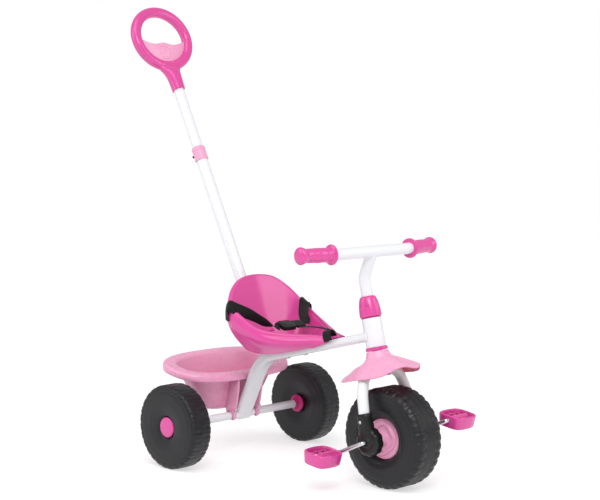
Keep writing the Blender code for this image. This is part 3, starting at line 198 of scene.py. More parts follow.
def turned(name, outline, place, steps=72, axis="Z", relief=None, radius=0.0006, smooth=4, sharp=40.0):
    """An outline of (radius, height) spun round its axis: x = r cos t, y = r sin t, z = h.
    relief(angle, r, h) gives how far each point moves in along r and along h."""
    outline = np.asarray(outline, float)
    solid = outline[0, 0] == 0
    profile = rounded(outline, radius, smooth, closed=not solid) if radius else outline
    body = profile[1:-1] if solid else profile
    angle = whole_turn(steps)[None]
    r, h = np.repeat(body[:, :1], steps, 1), np.repeat(body[:, 1:], steps, 1)
    if relief is not None:
        dr, dh = relief(angle, r, h)
        r, h = r - dr, h - dh
    ends = profile[[0, -1]]
    grid = np.stack([r * np.cos(angle), r * np.sin(angle), h], -1)
    hubs = np.stack([np.zeros(2), np.zeros(2), ends[:, 1]], -1)
    if axis == "Y":
        grid, hubs = grid[..., [0, 2, 1]], hubs[:, [0, 2, 1]]
    return skin(name, place(grid), place(hubs) if solid else None, bored=not solid, sharp=sharp)


def tube(name, inner, outer, low, high, place, steps=72, axis="Z", **more):
    """A straight tube with two radii, from one height to another."""
    outline = [(inner, low), (outer, low), (outer, high), (inner, high)]
    return turned(name, outline, place, steps, axis, **more)


# %% [markdown]
# ## Tubes and rods
# A bent tube is a circle carried along a path. At each point the path's direction and one
# steady side direction give the plane of the circle. The corners are true arcs, as a pipe
# bender leaves them. A curve object with a bevel would do too, but a grid keeps the seams known.

# %% Paths, sections and what is carried along them
def arcs(corners, radius, steps=16):
    """Straight runs joined by arcs: where a corner turns by w, the arc starts r tan(w/2) before it."""
    corners = [np.array(c, float) for c in corners]
    radius = np.broadcast_to(radius, len(corners))
    path = [corners[0]]
    for before, corner, after, r in zip(corners, corners[1:], corners[2:], radius[1:]):
        into, out = unit(corner - before), unit(after - corner)
        turn = math.acos(np.clip(into @ out, -1, 1))
        first = corner - into * r * math.tan(turn / 2)
        normal = unit(out - into * (out @ into))
        t = np.linspace(0, turn, steps + 1)[:, None]
        path += list(first + normal * r * (1 - np.cos(t)) + into * r * np.sin(t))
    return np.array(path + [corners[-1]])


def through(points, count, closed=False):
    """A smooth curve through points: each stretch is the cubic set by its two ends and their neighbours."""
    p = np.asarray(points, float)
    if closed:
        t = np.linspace(0, len(p), count, endpoint=False)
    else:
        p = np.concatenate([2 * p[:1] - p[1:2], p, 2 * p[-1:] - p[-2:-1]])
        t = np.linspace(0, len(p) - 3 - 1e-9, count)
    k = np.floor(t).astype(int)
    f = (t - k).reshape((-1,) + (1,) * (p.ndim - 1))
    a, b, c, d = (p[(k + s) % len(p)] for s in ((-1, 0, 1, 2) if closed else (0, 1, 2, 3)))
    curve = 2 * b + (c - a) * f + (2 * a - 5 * b + 4 * c - d) * f ** 2 + (3 * b - a - 3 * c + d) * f ** 3
    return 0.5 * curve


def ring(half_w, half_h, count=40, power=2.0):
    """An oval |x/w|^p + |y/h|^p = 1, a circle where both halves are equal and p is 2."""
    t = 2 * np.pi * (np.arange(count) + 0.5) / count
    c, s = np.cos(t), np.sin(t)
    return np.stack([half_w * np.sign(c) * np.abs(c) ** (2 / power),
                     half_h * np.sign(s) * np.abs(s) ** (2 / power)], -1)


def carried(path, section, side):
    """Row i = path i + across u + out v: across is the side made square to the path, out square to both."""
    path = np.asarray(path, float)
    ahead = unit(np.gradient(path, axis=0))
    side = np.broadcast_to(np.asarray(side, float), path.shape)
    across = unit(side - ahead * (side * ahead).sum(1, keepdims=True))
    out = np.cross(ahead, across)
    section = np.broadcast_to(section, (len(path),) + np.shape(section)[-2:])
    return path[:, None] + across[:, None] * section[..., :1] + out[:, None] * section[..., 1:]


def rod_along(name, path, radius, side, place, count=40):
    """A round rod along a path."""
    return skin(name, place(carried(path, ring(radius, radius, count), side)), sharp=50.0)


def plate(name, outline, low, high, place, edge=0.0008, order=(0, 1, 2)):
    """A flat piece: its outline drawn in towards its own middle by the edge at both faces, so that
    the rim catches the light. order says which axes the outline and the thickness lie along."""
    outline = np.asarray(outline, float)
    middle = outline.mean(0)
    far = np.linalg.norm(outline - middle, axis=1, keepdims=True)
    rows = []
    for height, inset in ((low, edge), (low + edge * 0.3, edge * 0.3), (low + edge, 0), (high - edge, 0),
                          (high - edge * 0.3, edge * 0.3), (high, edge)):
        flat = middle + (outline - middle) * (1 - inset / np.maximum(far, 1e-6))
        rows.append(at_height(flat, height)[:, list(order)])
    return skin(name, place(np.array(rows)), sharp=50.0)


print("helpers: skin, turned, carried, plate")

# %% [markdown]
# ## Finishes
# A moulded plastic is never one flat colour: the flow of the melt leaves faint clouds, the tool
# leaves a fine grain, and handling leaves the gloss uneven. So each finish mixes a colour with
# slow noise, varies its roughness with another, and bumps the surface with a third. All three
# read Object coordinates in metres. A picture texture could do it, but noise has no seams.

# %% A procedural finish
FINISH = {}


def feed(tree, made, inputs):
    """Each input is linked to another node's output, or set to a value."""
    for socket, value in inputs.items():
        if isinstance(value, bpy.types.NodeSocket):
            tree.links.new(value, made.inputs[socket])
        else:
            made.inputs[socket].default_value = value
    return made


def add(tree, kind, inputs, **options):
    """A new node of a kind, with its options set before its inputs."""
    made = tree.nodes.new("ShaderNode" + kind)
    for option, value in options.items():
        setattr(made, option, value)
    return feed(tree, made, inputs)


def noise(tree, coordinates, scale, detail=2.0):
    """The output of a noise texture, between 0 and 1."""
    return add(tree, "TexNoise", {"Scale": scale, "Detail": detail, "Vector": coordinates}).outputs["Fac"]


def reckon(tree, operation, first, second):
    """The result of an operation on two numbers or outputs."""
    return add(tree, "Math", {0: first, 1: second}, operation=operation).outputs[0]


def mixed(tree, share, first, second):
    """A colour between two others."""
    return add(tree, "Mix", {0: share, 6: (*first, 1), 7: (*second, 1)}, data_type="RGBA").outputs[2]


def bumped(tree, strength, depth, height):
    return add(tree, "Bump", {"Strength": strength, "Distance": depth, "Height": height}).outputs["Normal"]


def material(name):
    """A new material, with its node tree and its shader."""
    made = bpy.data.materials.new(name)
    made.use_nodes = True
    return made, made.node_tree, made.node_tree.nodes["Principled BSDF"]


def moulded(slot, colour, roughness, cloud=0.06, grain=1400.0, depth=0.00001, metallic=0.0, coat=0.0,
            through_light=0.0, uneven=0.04, drawn=(1, 1, 1), specular=0.5):
    """Colour = clouds between two tones. Roughness = base +- uneven. Bump = fine grain."""
    FINISH[slot], tree, shader = material("finish_" + slot)
    place = add(tree, "TexCoord", {}).outputs["Object"]
    stretched = add(tree, "Mapping", {"Scale": drawn, "Vector": place}).outputs["Vector"]
    dark, light = ([min(1, c * (1 + way * cloud)) for c in colour] for way in (-1, 1))
    gloss = {"Value": noise(tree, place, 60.0, 3.0), "To Min": max(0.02, roughness - uneven),
             "To Max": roughness + uneven}
    feed(tree, shader, {
        "Base Color": mixed(tree, noise(tree, place, 22.0, 4.0), dark, light),
        "Roughness": add(tree, "MapRange", gloss).outputs["Result"],
        "Normal": bumped(tree, 1.0, depth, noise(tree, stretched, grain)),
        "Metallic": metallic, "Specular IOR Level": specular, "Coat Weight": coat, "Coat Roughness": 0.22})
    if through_light:
        feed(tree, shader, {"Subsurface Weight": through_light, "Subsurface Radius": (0.006, 0.003, 0.004),
                            "Subsurface Scale": 0.5})


WHITE, STEEL, BLACK, CHARCOAL = "white_paint", "bright_steel", "black_plastic", "charcoal_plastic"
PINK, DEEP_PINK, PALE_PINK = "pink_plastic", "deep_pink_plastic", "pale_pink_plastic"
WEBBING = "black_webbing"
moulded(WHITE, (0.80, 0.81, 0.84), 0.30, cloud=0.015, grain=520.0, depth=0.00005, coat=0.25)
moulded(STEEL, (0.63, 0.63, 0.65), 0.24, cloud=0.08, grain=900.0, depth=0.00002, metallic=1.0,
        drawn=(1, 0.06, 1))
moulded(PINK, (0.69, 0.062, 0.315), 0.25, cloud=0.05, coat=0.30, through_light=0.05)
moulded(DEEP_PINK, (0.55, 0.020, 0.180), 0.30, cloud=0.05)
moulded(PALE_PINK, (0.84, 0.370, 0.560), 0.28, cloud=0.04, through_light=0.12)
# A redder, darker copy of the pale pink: painted shade for the underside of the mudguard.
moulded("underside_shade_plastic", (0.80, 0.140, 0.230), 0.40, cloud=0.05)
moulded(CHARCOAL, (0.0100, 0.0098, 0.0118), 0.40, cloud=0.16, grain=1900.0, depth=0.00008,
        uneven=0.08, specular=0.36)
moulded(BLACK, (0.0075, 0.0078, 0.0080), 0.36, cloud=0.15, grain=1600.0, depth=0.00005,
        specular=0.36)
print("finishes:", ", ".join(FINISH))


BODY_OF = {node: body for body, nodes in frame["record"]["behaviour"]["bodies"].items() for node in nodes}


def dress(piece, slot, *nodes, body=None, finish=None):
    """Give a piece its finish, hang it on the body of its node, and hide the coarse nodes it stands for."""
    body = body or BODY_OF[nodes[0]]
    piece.data.materials.append(FINISH[finish or slot])
    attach(piece, body)
    if nodes:
        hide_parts(*nodes)
    print(piece.name, len(piece.data.polygons), "faces")

# %% [markdown]
# ## The painted frame
# One flat-sided steel tube runs back from the head tube under the seat and bends down to the
# cross tube that carries the rear axle. Its front end is cut to a saddle so that it closes
# round the head tube: each point of the section starts where it meets the head tube's wall.
# A boolean cut would do the same, but leaves long thin faces that shade badly.

# %% Main tube, head tube, cross tube and rod socket
LEAN = math.radians(STEERING_LEAN)
JOINT_H = 0.2185   # of the main tube on the head tube, up the steering axis from the front axle
JOINT_GAP = 0.026   # from the steering axis to where the section is whole
TUBE_W, TUBE_H, BEND_R = 0.048, 0.020, 0.090
main_way = direction(STEERING_LEAN)
main_start = np.array([0.467 - JOINT_H * math.sin(LEAN), 0, FRONT_AXLE_Z + JOINT_H * math.cos(LEAN)])
corner = np.array(ROD_FOOT) + (MIDDLE_X, 0, 0) - main_way * 0.0135
rear_axle = np.array([0, 0, REAR_AXLE_Z])
leg_way = unit(corner - rear_axle)


def slot_section(width, height, count=56):
    """Two half circles joined by straight sides, the width along the first axis."""
    r = height / 2
    t = np.linspace(-np.pi / 2, np.pi / 2, count // 2)
    right = np.stack([width / 2 - r + r * np.cos(t), r * np.sin(t)], -1)
    return np.vstack([right, -right])


def main_tube(name):
    """A slot section carried from the head tube back and down. In the first row each point slides
    along the tube to sqrt(R^2 - y^2), on the head tube's wall."""
    path = arcs([main_start - main_way * JOINT_GAP, corner, rear_axle - leg_way * 0.0085], BEND_R, 28)
    rows = carried(path, slot_section(TUBE_W, TUBE_H), (0, 1, 0))
    first = rows[:1].copy()
    slide = np.sqrt(np.maximum(0.0195 ** 2 - first[..., 1] ** 2, 0))
    first += main_way * (JOINT_GAP - np.maximum(slide, 0.0005))[..., None]
    return skin(name, on_trike(np.vstack([first, rows])), sharp=50.0)


dress(main_tube("main_tube"), WHITE, "frame")
dress(tube("head_tube", 0.0172, 0.0216, 0.194, 0.257, on_steering, 96), WHITE, "frame")
dress(tube("cross_tube", 0.0062, 0.0095, -0.1685, 0.1685, on_bucket, 64, "Y"), WHITE, "frame")
dress(tube("rod_socket", 0.0143, 0.0168, -0.0015, 0.052, on_rod), WHITE, "frame")

# %% [markdown]
# Welds join the tubes. A real one is a bead of small overlapping ripples, so the bead here is a
# thin ring that follows the joint and swells and shrinks along its length.

# %% Weld beads
def bead(name, path, radius, ripples):
    """A closed ring of radius r (1 + 0.14 cos(n t)) carried round a loop of points."""
    t = whole_turn(len(path))
    swell = radius * (1 + 0.14 * np.cos(ripples * t))
    ahead = unit(np.roll(path, -1, 0) - np.roll(path, 1, 0))
    side = path - path.mean(0)
    side = unit(side - ahead * (side * ahead).sum(1, keepdims=True))
    out = np.cross(ahead, side)
    u, v = ring(1.0, 1.0, 12).T
    rows = path[:, None] + swell[:, None, None] * (side[:, None] * u[:, None] + out[:, None] * v[:, None])
    return skin(name, rows, bored=True, sharp=60.0)


angle = whole_turn(180)
y = 0.0242 * np.sin(angle)
z = TUBE_H / 2 * np.sign(np.cos(angle)) * np.abs(np.cos(angle)) ** 0.35
slide = -np.sqrt(np.maximum(0.0218 ** 2 - np.minimum(np.abs(y), 0.0216) ** 2, 0)) - 0.0006
joint = on_steering(np.stack([slide, y, JOINT_H + z], -1))
dress(bead("head_weld", joint, 0.0017, 60), WHITE, body="frame")
loop = np.stack([0.0168 * np.cos(angle), 0.0168 * np.sin(angle), 0 * angle], -1)
tilt = math.radians(ROD_LEAN + STEERING_LEAN)
loop[:, 2] = 0.0104 / math.cos(tilt) + loop[:, 0] * math.tan(tilt)
dress(bead("socket_weld", on_rod(loop), 0.0016, 54), WHITE, body="frame")

# %% [markdown]
# ## Push rod
# The handle's rod is two tubes, one sliding in the other. A short moulded coupling with a spring
# button locks them. The coupling has a raised band at each end, and a well where the button sits.

# %% Rod tubes, coupling and button
dress(tube("lower_rod", 0.0128, 0.014, 0.0, 0.508, on_rod), WHITE, "push_rod_lower")
dress(tube("upper_rod", 0.0111, 0.0125, 0.300, 0.726, on_rod), WHITE, "push_rod_upper")
coupling = mm([
    (14.3, 503), (15.8, 503), (16.5, 504.2), (16.5, 507.8), (15.8, 509), (15.8, 527.5), (16.4, 529),
    (16.4, 532.5), (14.8, 537), (12.8, 537), (12.8, 508.3), (14.3, 508.3)])


BUTTON_H = 0.5185
BUTTON_WAY = (-0.8, -0.6, 0)


def button_well(angle, r, h):
    """Inside a 4.2 mm circle round the button, the wall is pressed in by 1 mm, with a soft edge."""
    across = 0.0160 * np.angle(np.exp(1j * (angle - math.atan2(BUTTON_WAY[1], BUTTON_WAY[0]))))
    far = np.hypot(across, h - BUTTON_H)
    return np.where(r > 0.0150, eased((0.0046 - far) / 0.0008) * 0.0010, 0), 0 * r


coupling = through(rounded(coupling, 0.0006, 4), 150, True)
dress(turned("coupling", coupling, on_rod, 160, relief=button_well, radius=0), PALE_PINK, "rod_coupling")


def facing(origin, way):
    """Places a shape drawn up the Z axis so that Z points along way."""
    z = unit(np.array(way, float))
    x = unit(np.cross((0, 0, 1) if abs(z[2]) < 0.9 else (1, 0, 0), z))
    base = np.stack([x, np.cross(z, x), z])
    return lambda points: np.asarray(points, float) @ base + np.array(origin)


button_at = facing((0, 0, BUTTON_H), BUTTON_WAY)
button = mm([(0, 15), (3.1, 15), (3.1, 18.2), (2.4, 19.2), (0, 19.5)])
dress(turned("release_button", button, lambda p: on_rod(button_at(p)), 40, radius=0.0007),
      BLACK, "coupling_button")

# %% [markdown]
# ## Ring handle
# The handle is one hollow moulding: an oval ring that runs into a flared neck. The ring is an
# almost round section carried round an oval. The neck is a stack of ovals that widen until they
# meet the ring.

# %% Ring, neck and insert
def ring_rows(count=144, around=48):
    """Centre = (0, W cos t, H sin t). Section: an oval whose first axis points straight out of that one."""
    half_w, half_h = 0.0794, 0.0697
    t = whole_turn(count)
    middle = np.stack([0 * t, half_w * np.cos(t), half_h * np.sin(t)], -1)
    out = unit(np.stack([0 * t, np.cos(t) / half_w, np.sin(t) / half_h], -1))
    u, v = ring(0.0125, 0.0122, around, 2.15).T
    return middle[:, None] + out[:, None] * u[:, None] + np.array([1.0, 0, 0]) * v[:, None]


dress(skin("ring_grip", on_ring(ring_rows()), bored=True, sharp=60.0), PINK, "ring_handle")
neck_table = [(0.0, 0.0, 0.0148, 0.0148), (0.015, 0.0, 0.0155, 0.0155), (0.20, 0.0, 0.0160, 0.0155),
              (0.43, 0.03, 0.0175, 0.0158), (0.64, 0.22, 0.0210, 0.0152), (0.82, 0.55, 0.0285, 0.0135),
              (1.0, 0.97, 0.0375, 0.0108)]
neck_rows = []
for up, back, wide, deep in through(neck_table, 56):
    oval = ring(deep, wide, 96, 2.25) + (-0.0091 * back, 0)
    neck_rows.append(at_height(oval, 0.692 + 0.0704 * up))
neck_rows = np.array(neck_rows)
hollow = 1 - (neck_rows[..., 1] / 0.0062) ** 2 - ((neck_rows[..., 2] - 0.722) / 0.0140) ** 2
neck_rows[..., 0] -= 0.0016 * np.clip(hollow * 1.8, 0, 1) * (neck_rows[..., 0] > 0)
dress(skin("ring_neck", on_rod(neck_rows), sharp=60.0), PINK, "ring_handle")

# %% [markdown]
# The neck carries a long shallow dimple on its front, where the two halves of the moulding are
# pinned: points inside an oval are pressed in by 1.6 mm. The insert that fills the lower half of
# the ring is a thin pale plate: its top edge waves, and a plain round disc stands a little proud.

# %% Insert and disc
def insert_outline(count=120):
    """Below, the ring's inner oval. Above, a hump in the middle and a valley towards each side."""
    t = np.radians(np.linspace(183.0, 357.0, count))
    low = np.stack([0.0695 * np.cos(t), 0.0600 * np.sin(t)], -1)
    s = np.linspace(0, 1, 60)[1:-1]
    y = low[-1, 0] + (low[0, 0] - low[-1, 0]) * s
    z = low[-1, 1] - 0.0155 * np.sin(np.pi * s) + 0.0062 * np.exp(-((s - 0.5) / 0.17) ** 2) * 1.55
    return np.vstack([low, np.stack([y, z], -1)])


dress(plate("handle_plate", insert_outline(), -0.0030, 0.0030, on_ring, 0.0011, (2, 0, 1)),
      PALE_PINK, "handle_insert")
disc = mm([(15, 2), (15.2, 4), (16.5, 4.2), (17.8, 4), (18, 2)])
for way, name in ((1, "front"), (-1, "back")):
    at = facing((0, 0, -0.0335), (way, 0, 0))
    dress(turned("plain_disc_" + name, disc, lambda p: on_ring(at(p)), 72, radius=0.0004),
          PALE_PINK, "handle_insert")

# %% [markdown]
# ## Handlebar, stem and fork
# The bar crosses the top of a bent stem that drops into the steering collar. Below the frame's
# head tube one tube is bent into an arch and becomes both legs of the fork.

# %% Steering tubes
BAR_R, FORK_R, LEG_OUT = 0.0125, 0.0118, 0.0755
bar = np.array([0.0365, 0, 0.396])
stem_path = arcs([(0, 0, 0.263), (0, 0, 0.346), bar], 0.035, 20)
dress(rod_along("stem", stem_path, BAR_R, (0, 1, 0), on_steering, 56), WHITE, "handlebar")
sweep, rise = math.tan(math.radians(6.7)), math.tan(math.radians(2.8))
KNEE_OUT, TIP_OUT = 0.112, 0.205
tip = np.array([-sweep, 1, rise]) * (TIP_OUT - KNEE_OUT)
knee = bar + (0, KNEE_OUT, 0)
flip = np.array([1, -1, 1])
bar_path = arcs([(knee + tip) * flip, knee * flip, knee, knee + tip], 0.15, 10)
dress(rod_along("bar", bar_path, BAR_R, (0, 0, 1), on_steering, 56), WHITE, "handlebar")
half = np.array([(0, 0.052, 0.147), (0, 0.0705, 0.096), (0, LEG_OUT, 0.054)])
fork_path = arcs(np.vstack([half[::-1] * flip, half]), [0, 0.10, 0.046, 0.046, 0.10, 0], 18)
dress(rod_along("fork_legs", fork_path, FORK_R, (1, 0, 0), on_steering, 56), WHITE, "fork")
dress(tube("steerer", 0.0080, 0.0105, 0.153, 0.298, on_steering, 64), WHITE, "fork")
tongue = ring(0.01075, 0.033, 40, 6.0) + (0, 0.021)
for side, name in SIDES:
    faces = side * LEG_OUT - 0.0025, side * LEG_OUT + 0.0025
    dress(plate("fork_tongue_" + name, tongue, *faces, on_steering, 0.0006, (0, 2, 1)), WHITE, "fork")

# %% [markdown]
# ## Grips
# Each grip is soft pink plastic: a thin guard ring, a barrel that swells slightly under the palm
# with low rounded ribs round it, and a mushroom end. Fine ribs come from a wave added to the
# outline's radius, which is simpler than modelling each rib.

# %% Both grips
bar_way = unit(np.array([-sweep, 1, rise]))
grip_outline = mm([
    (0, 91.2), (10, 91), (15.8, 89.2), (18.5, 85.8), (18.6, 82.5), (16.8, 77.5), (15, 71.5), (15.1, 56),
    (15.8, 40), (15.5, 20), (15.3, 6.5), (20, 4.8), (21.8, 4.2), (22, 3), (21.9, 0.8), (20, 0.3),
    (12.8, 0.3), (0, 0.3)])


def grip_profile():
    """The outline with softened corners, and low ribs: r + 0.22 mm (cos - 0.4) between guard and knob."""
    line = rounded(grip_outline, 0.003, 5, closed=False)
    dense = np.vstack([np.linspace(a, b, 7)[:-1] for a, b in zip(line, line[1:])] + [line[-1:]])
    h = dense[:, 1]
    window = np.clip((h - 0.012) / 0.004, 0, 1) * np.clip((0.066 - h) / 0.004, 0, 1)
    dense[:, 0] += 0.00022 * window * (dense[:, 0] > 0.0140) * (np.cos(2 * np.pi * h / 0.0045) - 0.4)
    return dense


for side, name in SIDES:
    way = bar_way * (1, side, 1)
    start = knee * (1, side, 1) + way * (0.0115 / bar_way[1])
    at = facing(start, way)
    grip = turned("grip_" + name + "_moulding", grip_profile(), lambda p: on_steering(at(p)), 72, radius=0,
                  sharp=60.0)
    dress(grip, PINK, "grip_" + name)

# %% [markdown]
# ## Steering collar and bushes
# A bell-shaped collar covers the joint of stem and fork. Its lower part is pleated: a few soft
# flutes run down from its shoulder to its hem. A screw holds it from one side.

# %% Collar, bushes and skirt below
collar_outline = mm([
    (12.8, 304.8), (15, 304.6), (17.8, 301.8), (20.3, 294.5), (22.2, 284.5), (23.5, 274), (23.9, 265),
    (23.9, 260.6), (22.8, 259.7), (19.2, 259.7), (19.8, 272), (16.5, 284), (12.8, 285)])


def flutes(angle, r, h):
    """Seven flutes: inward by 0.9 mm times a narrow pulse round the collar, fading out up the bell."""
    wave = np.cos(angle * 7 + 0.4)
    groove = np.clip((wave - 0.55) / 0.45, 0, 1) ** 1.5
    fade = np.clip((0.2920 - h) / 0.020, 0, 1) * (r > 0.0215)
    return 0.0009 * groove * fade, 0 * r


collar = rounded(collar_outline, 0.004, 6)
dress(turned("collar", collar, on_steering, 210, relief=flutes, radius=0, sharp=60.0), PINK,
      "steering_collar")
lower = mm([(11, 186.8), (24, 186.8), (24, 193.7), (16.9, 193.7), (16.9, 208), (11, 208)])
dress(turned("lower_bush", lower, on_steering, 80, radius=0.0008), PINK, "head_bush_lower")
upper = mm([(11, 243), (16.9, 243), (16.9, 257.3), (21.6, 257.3), (21.6, 259), (11, 259)])
dress(turned("upper_bush", upper, on_steering, 80, radius=0.0005), DEEP_PINK, "head_bush_upper")

# %% [markdown]
# The mudguard is a soft bell of pale plastic, like a flower's petal: long lobes to the front and
# rear, short sides, and a gently waving hem. It is a stack of rings between a round neck and a
# drawn hem. Each ring's share of the way out depends on its direction, so that the sides fall
# steeply and the lobes sweep out. The underside carries painted shade: the same plastic is drawn
# redder and darker there, as a thin sheet of its own just under the wall, because one wall with
# two colours would need a mask, and a mask would blur at the hem.

# %% Mudguard
HEM = mm([
    (-106, 0, 135.5), (-100, 22, 135), (-77, 45, 133), (-43, 65, 132.5), (-5, 76.5, 132), (30, 73, 130),
    (58, 59, 132), (78, 41, 141), (92, 24, 143), (101, 10, 138.5), (103.5, 0, 137)])
SWEEP = through([
    (0, 0, 0, 0), (0.25, 0.05, 0.08, 0.12), (0.36, 0.10, 0.18, 0.24), (0.46, 0.22, 0.34, 0.42),
    (0.57, 0.48, 0.48, 0.60), (0.75, 0.70, 0.72, 0.80), (0.86, 0.87, 0.86, 0.90), (1, 1, 1, 1)], 120)
NECK_R, NECK_H, BORE_R = 0.0236, 0.1857, 0.0110


def mirrored(half):
    """A closed loop from its left half, which begins and ends on the middle plane."""
    return np.vstack([half, half[-2:0:-1] * (1, -1, 1)])


def normals(rows):
    """Unit normals of a grid: along the rows crossed with round the columns."""
    return unit(np.cross(np.gradient(rows, axis=0), np.roll(rows, -1, 1) - np.roll(rows, 1, 1)))


def mudguard_rows(count=300, steps=56):
    """Ring k is neck + (hem - neck) far(k), straight down in k. The table gives far for the rear lobe, the
    front lobe and the sides, mixed by side = (sin direction)^4. Folds press the wall in along two lines."""
    hem = through(mirrored(HEM), count, True)
    around = np.arctan2(hem[:, 1], hem[:, 0])
    side = np.sin(around) ** 4
    neck = np.stack([NECK_R * np.cos(around), NECK_R * np.sin(around), np.full(count, NECK_H)], -1)
    k = np.linspace(0.0, 1.0, steps)[:, None]
    rear, front, flank = (np.interp(k, SWEEP[:, 0], SWEEP[:, column]) for column in (1, 2, 3))
    lobe = np.where(np.cos(around) > 0, front, rear)
    far = lobe * (1 - side) + flank * side
    rows = neck + (hem - neck) * np.stack([far, far, k + 0 * side], -1)
    off = np.abs(around)
    crease = np.exp(-((off - 1.95) / 0.075) ** 2) + 0.7 * np.exp(-((off - 1.20) / 0.11) ** 2)
    press = 0.0022 * crease * np.clip(k * 2.5, 0, 1) * (1 - 0.35 * k)
    rows[..., 0] -= press * np.cos(around)
    rows[..., 1] -= press * np.sin(around)
    return rows


guard = mudguard_rows()
cap = guard[:1] * (BORE_R / NECK_R, BORE_R / NECK_R, 1) + (0, 0, 0.0005)
shell = np.vstack([cap, guard])
normal = normals(shell)
if (normal[20] * (shell[20] - shell[20].mean(0))).sum() > 0:
    normal = -normal
rolled = (0.0011 + 0.0010 * np.clip((np.arange(len(shell)) - 51) / 4, 0, 1))[:, None, None]


def between(name, first, second, finish):
    """A closed wall from one depth under the outer face to another, both measured along its normals."""
    rows = [shell + normal * first, shell + normal * second]
    rows[0][0], rows[1][0] = shell[0] - (0, 0, np.min(first)), shell[0] - (0, 0, np.min(second))
    dress(skin(name, on_steering(np.vstack([rows[0], rows[1][::-1]])), bored=True, sharp=70.0),
          PALE_PINK, "fender_skirt", finish=finish)


between("mudguard", 0.0, rolled, PALE_PINK)
# The inner sheet is painted shade: the same plastic drawn redder and darker under the bell.
between("mudguard_underside_shade", rolled + 0.0001, rolled + 0.0009, "underside_shade_plastic")

# %% [markdown]
# ## Wheels
# The wheels are blown plastic shells. Their treads are the first thing the eye meets, so they are
# cut as real shape: the outline is read at many even steps, and each point is pushed in along
# the outline's own normal where a groove crosses it. A displacement modifier could do it, but
# its levels must then match in every render.

# %% Reading an outline evenly, and the grooves
def even(outline, count):
    """Points at equal distances along a closed outline."""
    p = np.vstack([outline, outline[:1]])
    far = np.concatenate([[0], np.cumsum(np.linalg.norm(np.diff(p, axis=0), axis=1))])
    s = np.linspace(0, far[-1], count, endpoint=False)
    return np.stack([np.interp(s, far, p[:, k]) for k in range(2)], -1)


def pulse(phase, width, soft):
    """1 inside a width round each whole number of the phase, 0 outside, with a soft edge."""
    away = np.abs((phase + 0.5) % 1.0 - 0.5)
    return eased((width / 2 + soft / 2 - away) / soft)


def wheel(name, outline, corner_radius, count, steps, depth, place):
    """Point = outline - normal * depth(angle, r, y), spun round the Y axis."""
    line = even(rounded(outline, corner_radius, 6), count)
    ahead = np.roll(line, -1, 0) - np.roll(line, 1, 0)
    normal = unit(np.stack([ahead[:, 1], -ahead[:, 0]], -1))
    if (normal * (line - line.mean(0))).sum() < 0:
        normal = -normal
    angle = whole_turn(steps)[None]
    r, y = line[:, :1] + 0 * angle, line[:, 1:] + 0 * angle
    dip = depth(angle, r, y)
    r, y = r - normal[:, :1] * dip, y - normal[:, 1:] * dip
    grid = np.stack([r * np.cos(angle), y, r * np.sin(angle)], -1)
    return skin(name, place(grid), bored=True, sharp=75.0)


def band(value, low, high, soft):
    """1 between low and high, 0 outside, with soft ends."""
    return eased(np.minimum(value - low, high - value) / soft + 0.5)


REAR = mm([
    (16.5, 21.5), (25.6, 21.5), (26.6, 26.5), (50, 29.8), (76, 29.6), (89, 28.6), (95.5, 23.5),
    (95.5, -23.5), (89, -27.8), (50, -28.3), (30, -24), (16.5, -21.5)])


def rear_depth(angle, r, y):
    """28 shallow grooves over each shoulder, 1.1 mm deep, a narrow one between them, and two rings."""
    turn = angle * 28 / (2 * np.pi) + np.where(y > 0, 0.0, 0.5)
    lugs = pulse(turn, 0.30, 0.26) + 0.5 * pulse(turn + 0.5, 0.10, 0.14)
    shoulder = band(r, 0.0885, 0.2, 0.0030) * band(np.abs(y), 0.0050, 0.05, 0.0040)
    rings = band(r, 0.0800, 0.0822, 0.0018) + 0.5 * band(r, 0.0470, 0.0485, 0.0018)
    rings = rings * (np.abs(y) > 0.022)
    return 0.0011 * lugs * shoulder + 0.0008 * rings


for name, place in on_rear_wheel.items():
    dress(wheel("rear_tyre_" + name, REAR, 0.0075, 96, 480, rear_depth, place),
          CHARCOAL, "rear_wheel_" + name)

FRONT = mm([(10, 26.5), (44.5, 26.5), (47, 37), (60, 44.5), (82, 44.5), (100, 40.5), (108.7, 31)])
FRONT = np.vstack([FRONT, (FRONT_AXLE_Z, 0.0), FRONT[::-1] * (1, -1)])


def front_depth(angle, r, y):
    """34 wide grooves on each shoulder, 1.7 mm deep, a studded band between them, and two rings."""
    side = np.abs(y)
    lugs = pulse(angle * 34 / (2 * np.pi) + np.where(y > 0, 0.0, 0.5), 0.42, 0.14)
    shoulder = band(r, 0.1010, 0.2, 0.0022) * band(side, 0.0165, 0.05, 0.0020)
    edge = band(side, 0.0150, 0.0172, 0.0012) * (r > 0.10)
    studs = 0.5 + 0.5 * np.cos(angle * 112) * np.cos(2 * np.pi * y / 0.0062)
    middle = band(side, -0.01, 0.0150, 0.0012) * (r > 0.10)
    rings = band(r, 0.0560, 0.0580, 0.0018) + band(r, 0.0890, 0.0915, 0.0020)
    rings = rings * (side > 0.030)
    return 0.0017 * lugs * shoulder + 0.0011 * edge + 0.0016 * studs * middle + 0.0010 * rings


dress(wheel("front_tyre", FRONT, 0.0075, 128, 720, front_depth, on_front_axle), CHARCOAL, "front_wheel")

# %% [markdown]
# Each wheel has its own pink parts. The rear hubs are plain domed caps. The front wheel carries
# a pale disc on each side with a lobed ridge, drawn as a wave in the ridge's radius.

# %% Hub caps, bushes and front discs
cap = mm([(0, 21.9), (22.9, 21.9), (22.9, 24.8), (20.5, 26.6), (12, 27.2), (0, 27.4)])
bush = mm([
    (4.5, -40.5), (12.5, -40.5), (13.5, -34), (17.5, -32.5), (21.2, -30), (21.2, -26.2), (18, -25),
    (16, -21.8), (16, 21), (4.5, 21)])
for name, place in on_rear_wheel.items():
    dress(turned("rear_cap_" + name, cap, place, 80, "Y", radius=0.0014), PINK, "hub_cap_" + name)
    dress(turned("rear_bushing_" + name, bush, place, 72, "Y", radius=0.0012), DEEP_PINK,
          "rear_bush_" + name)


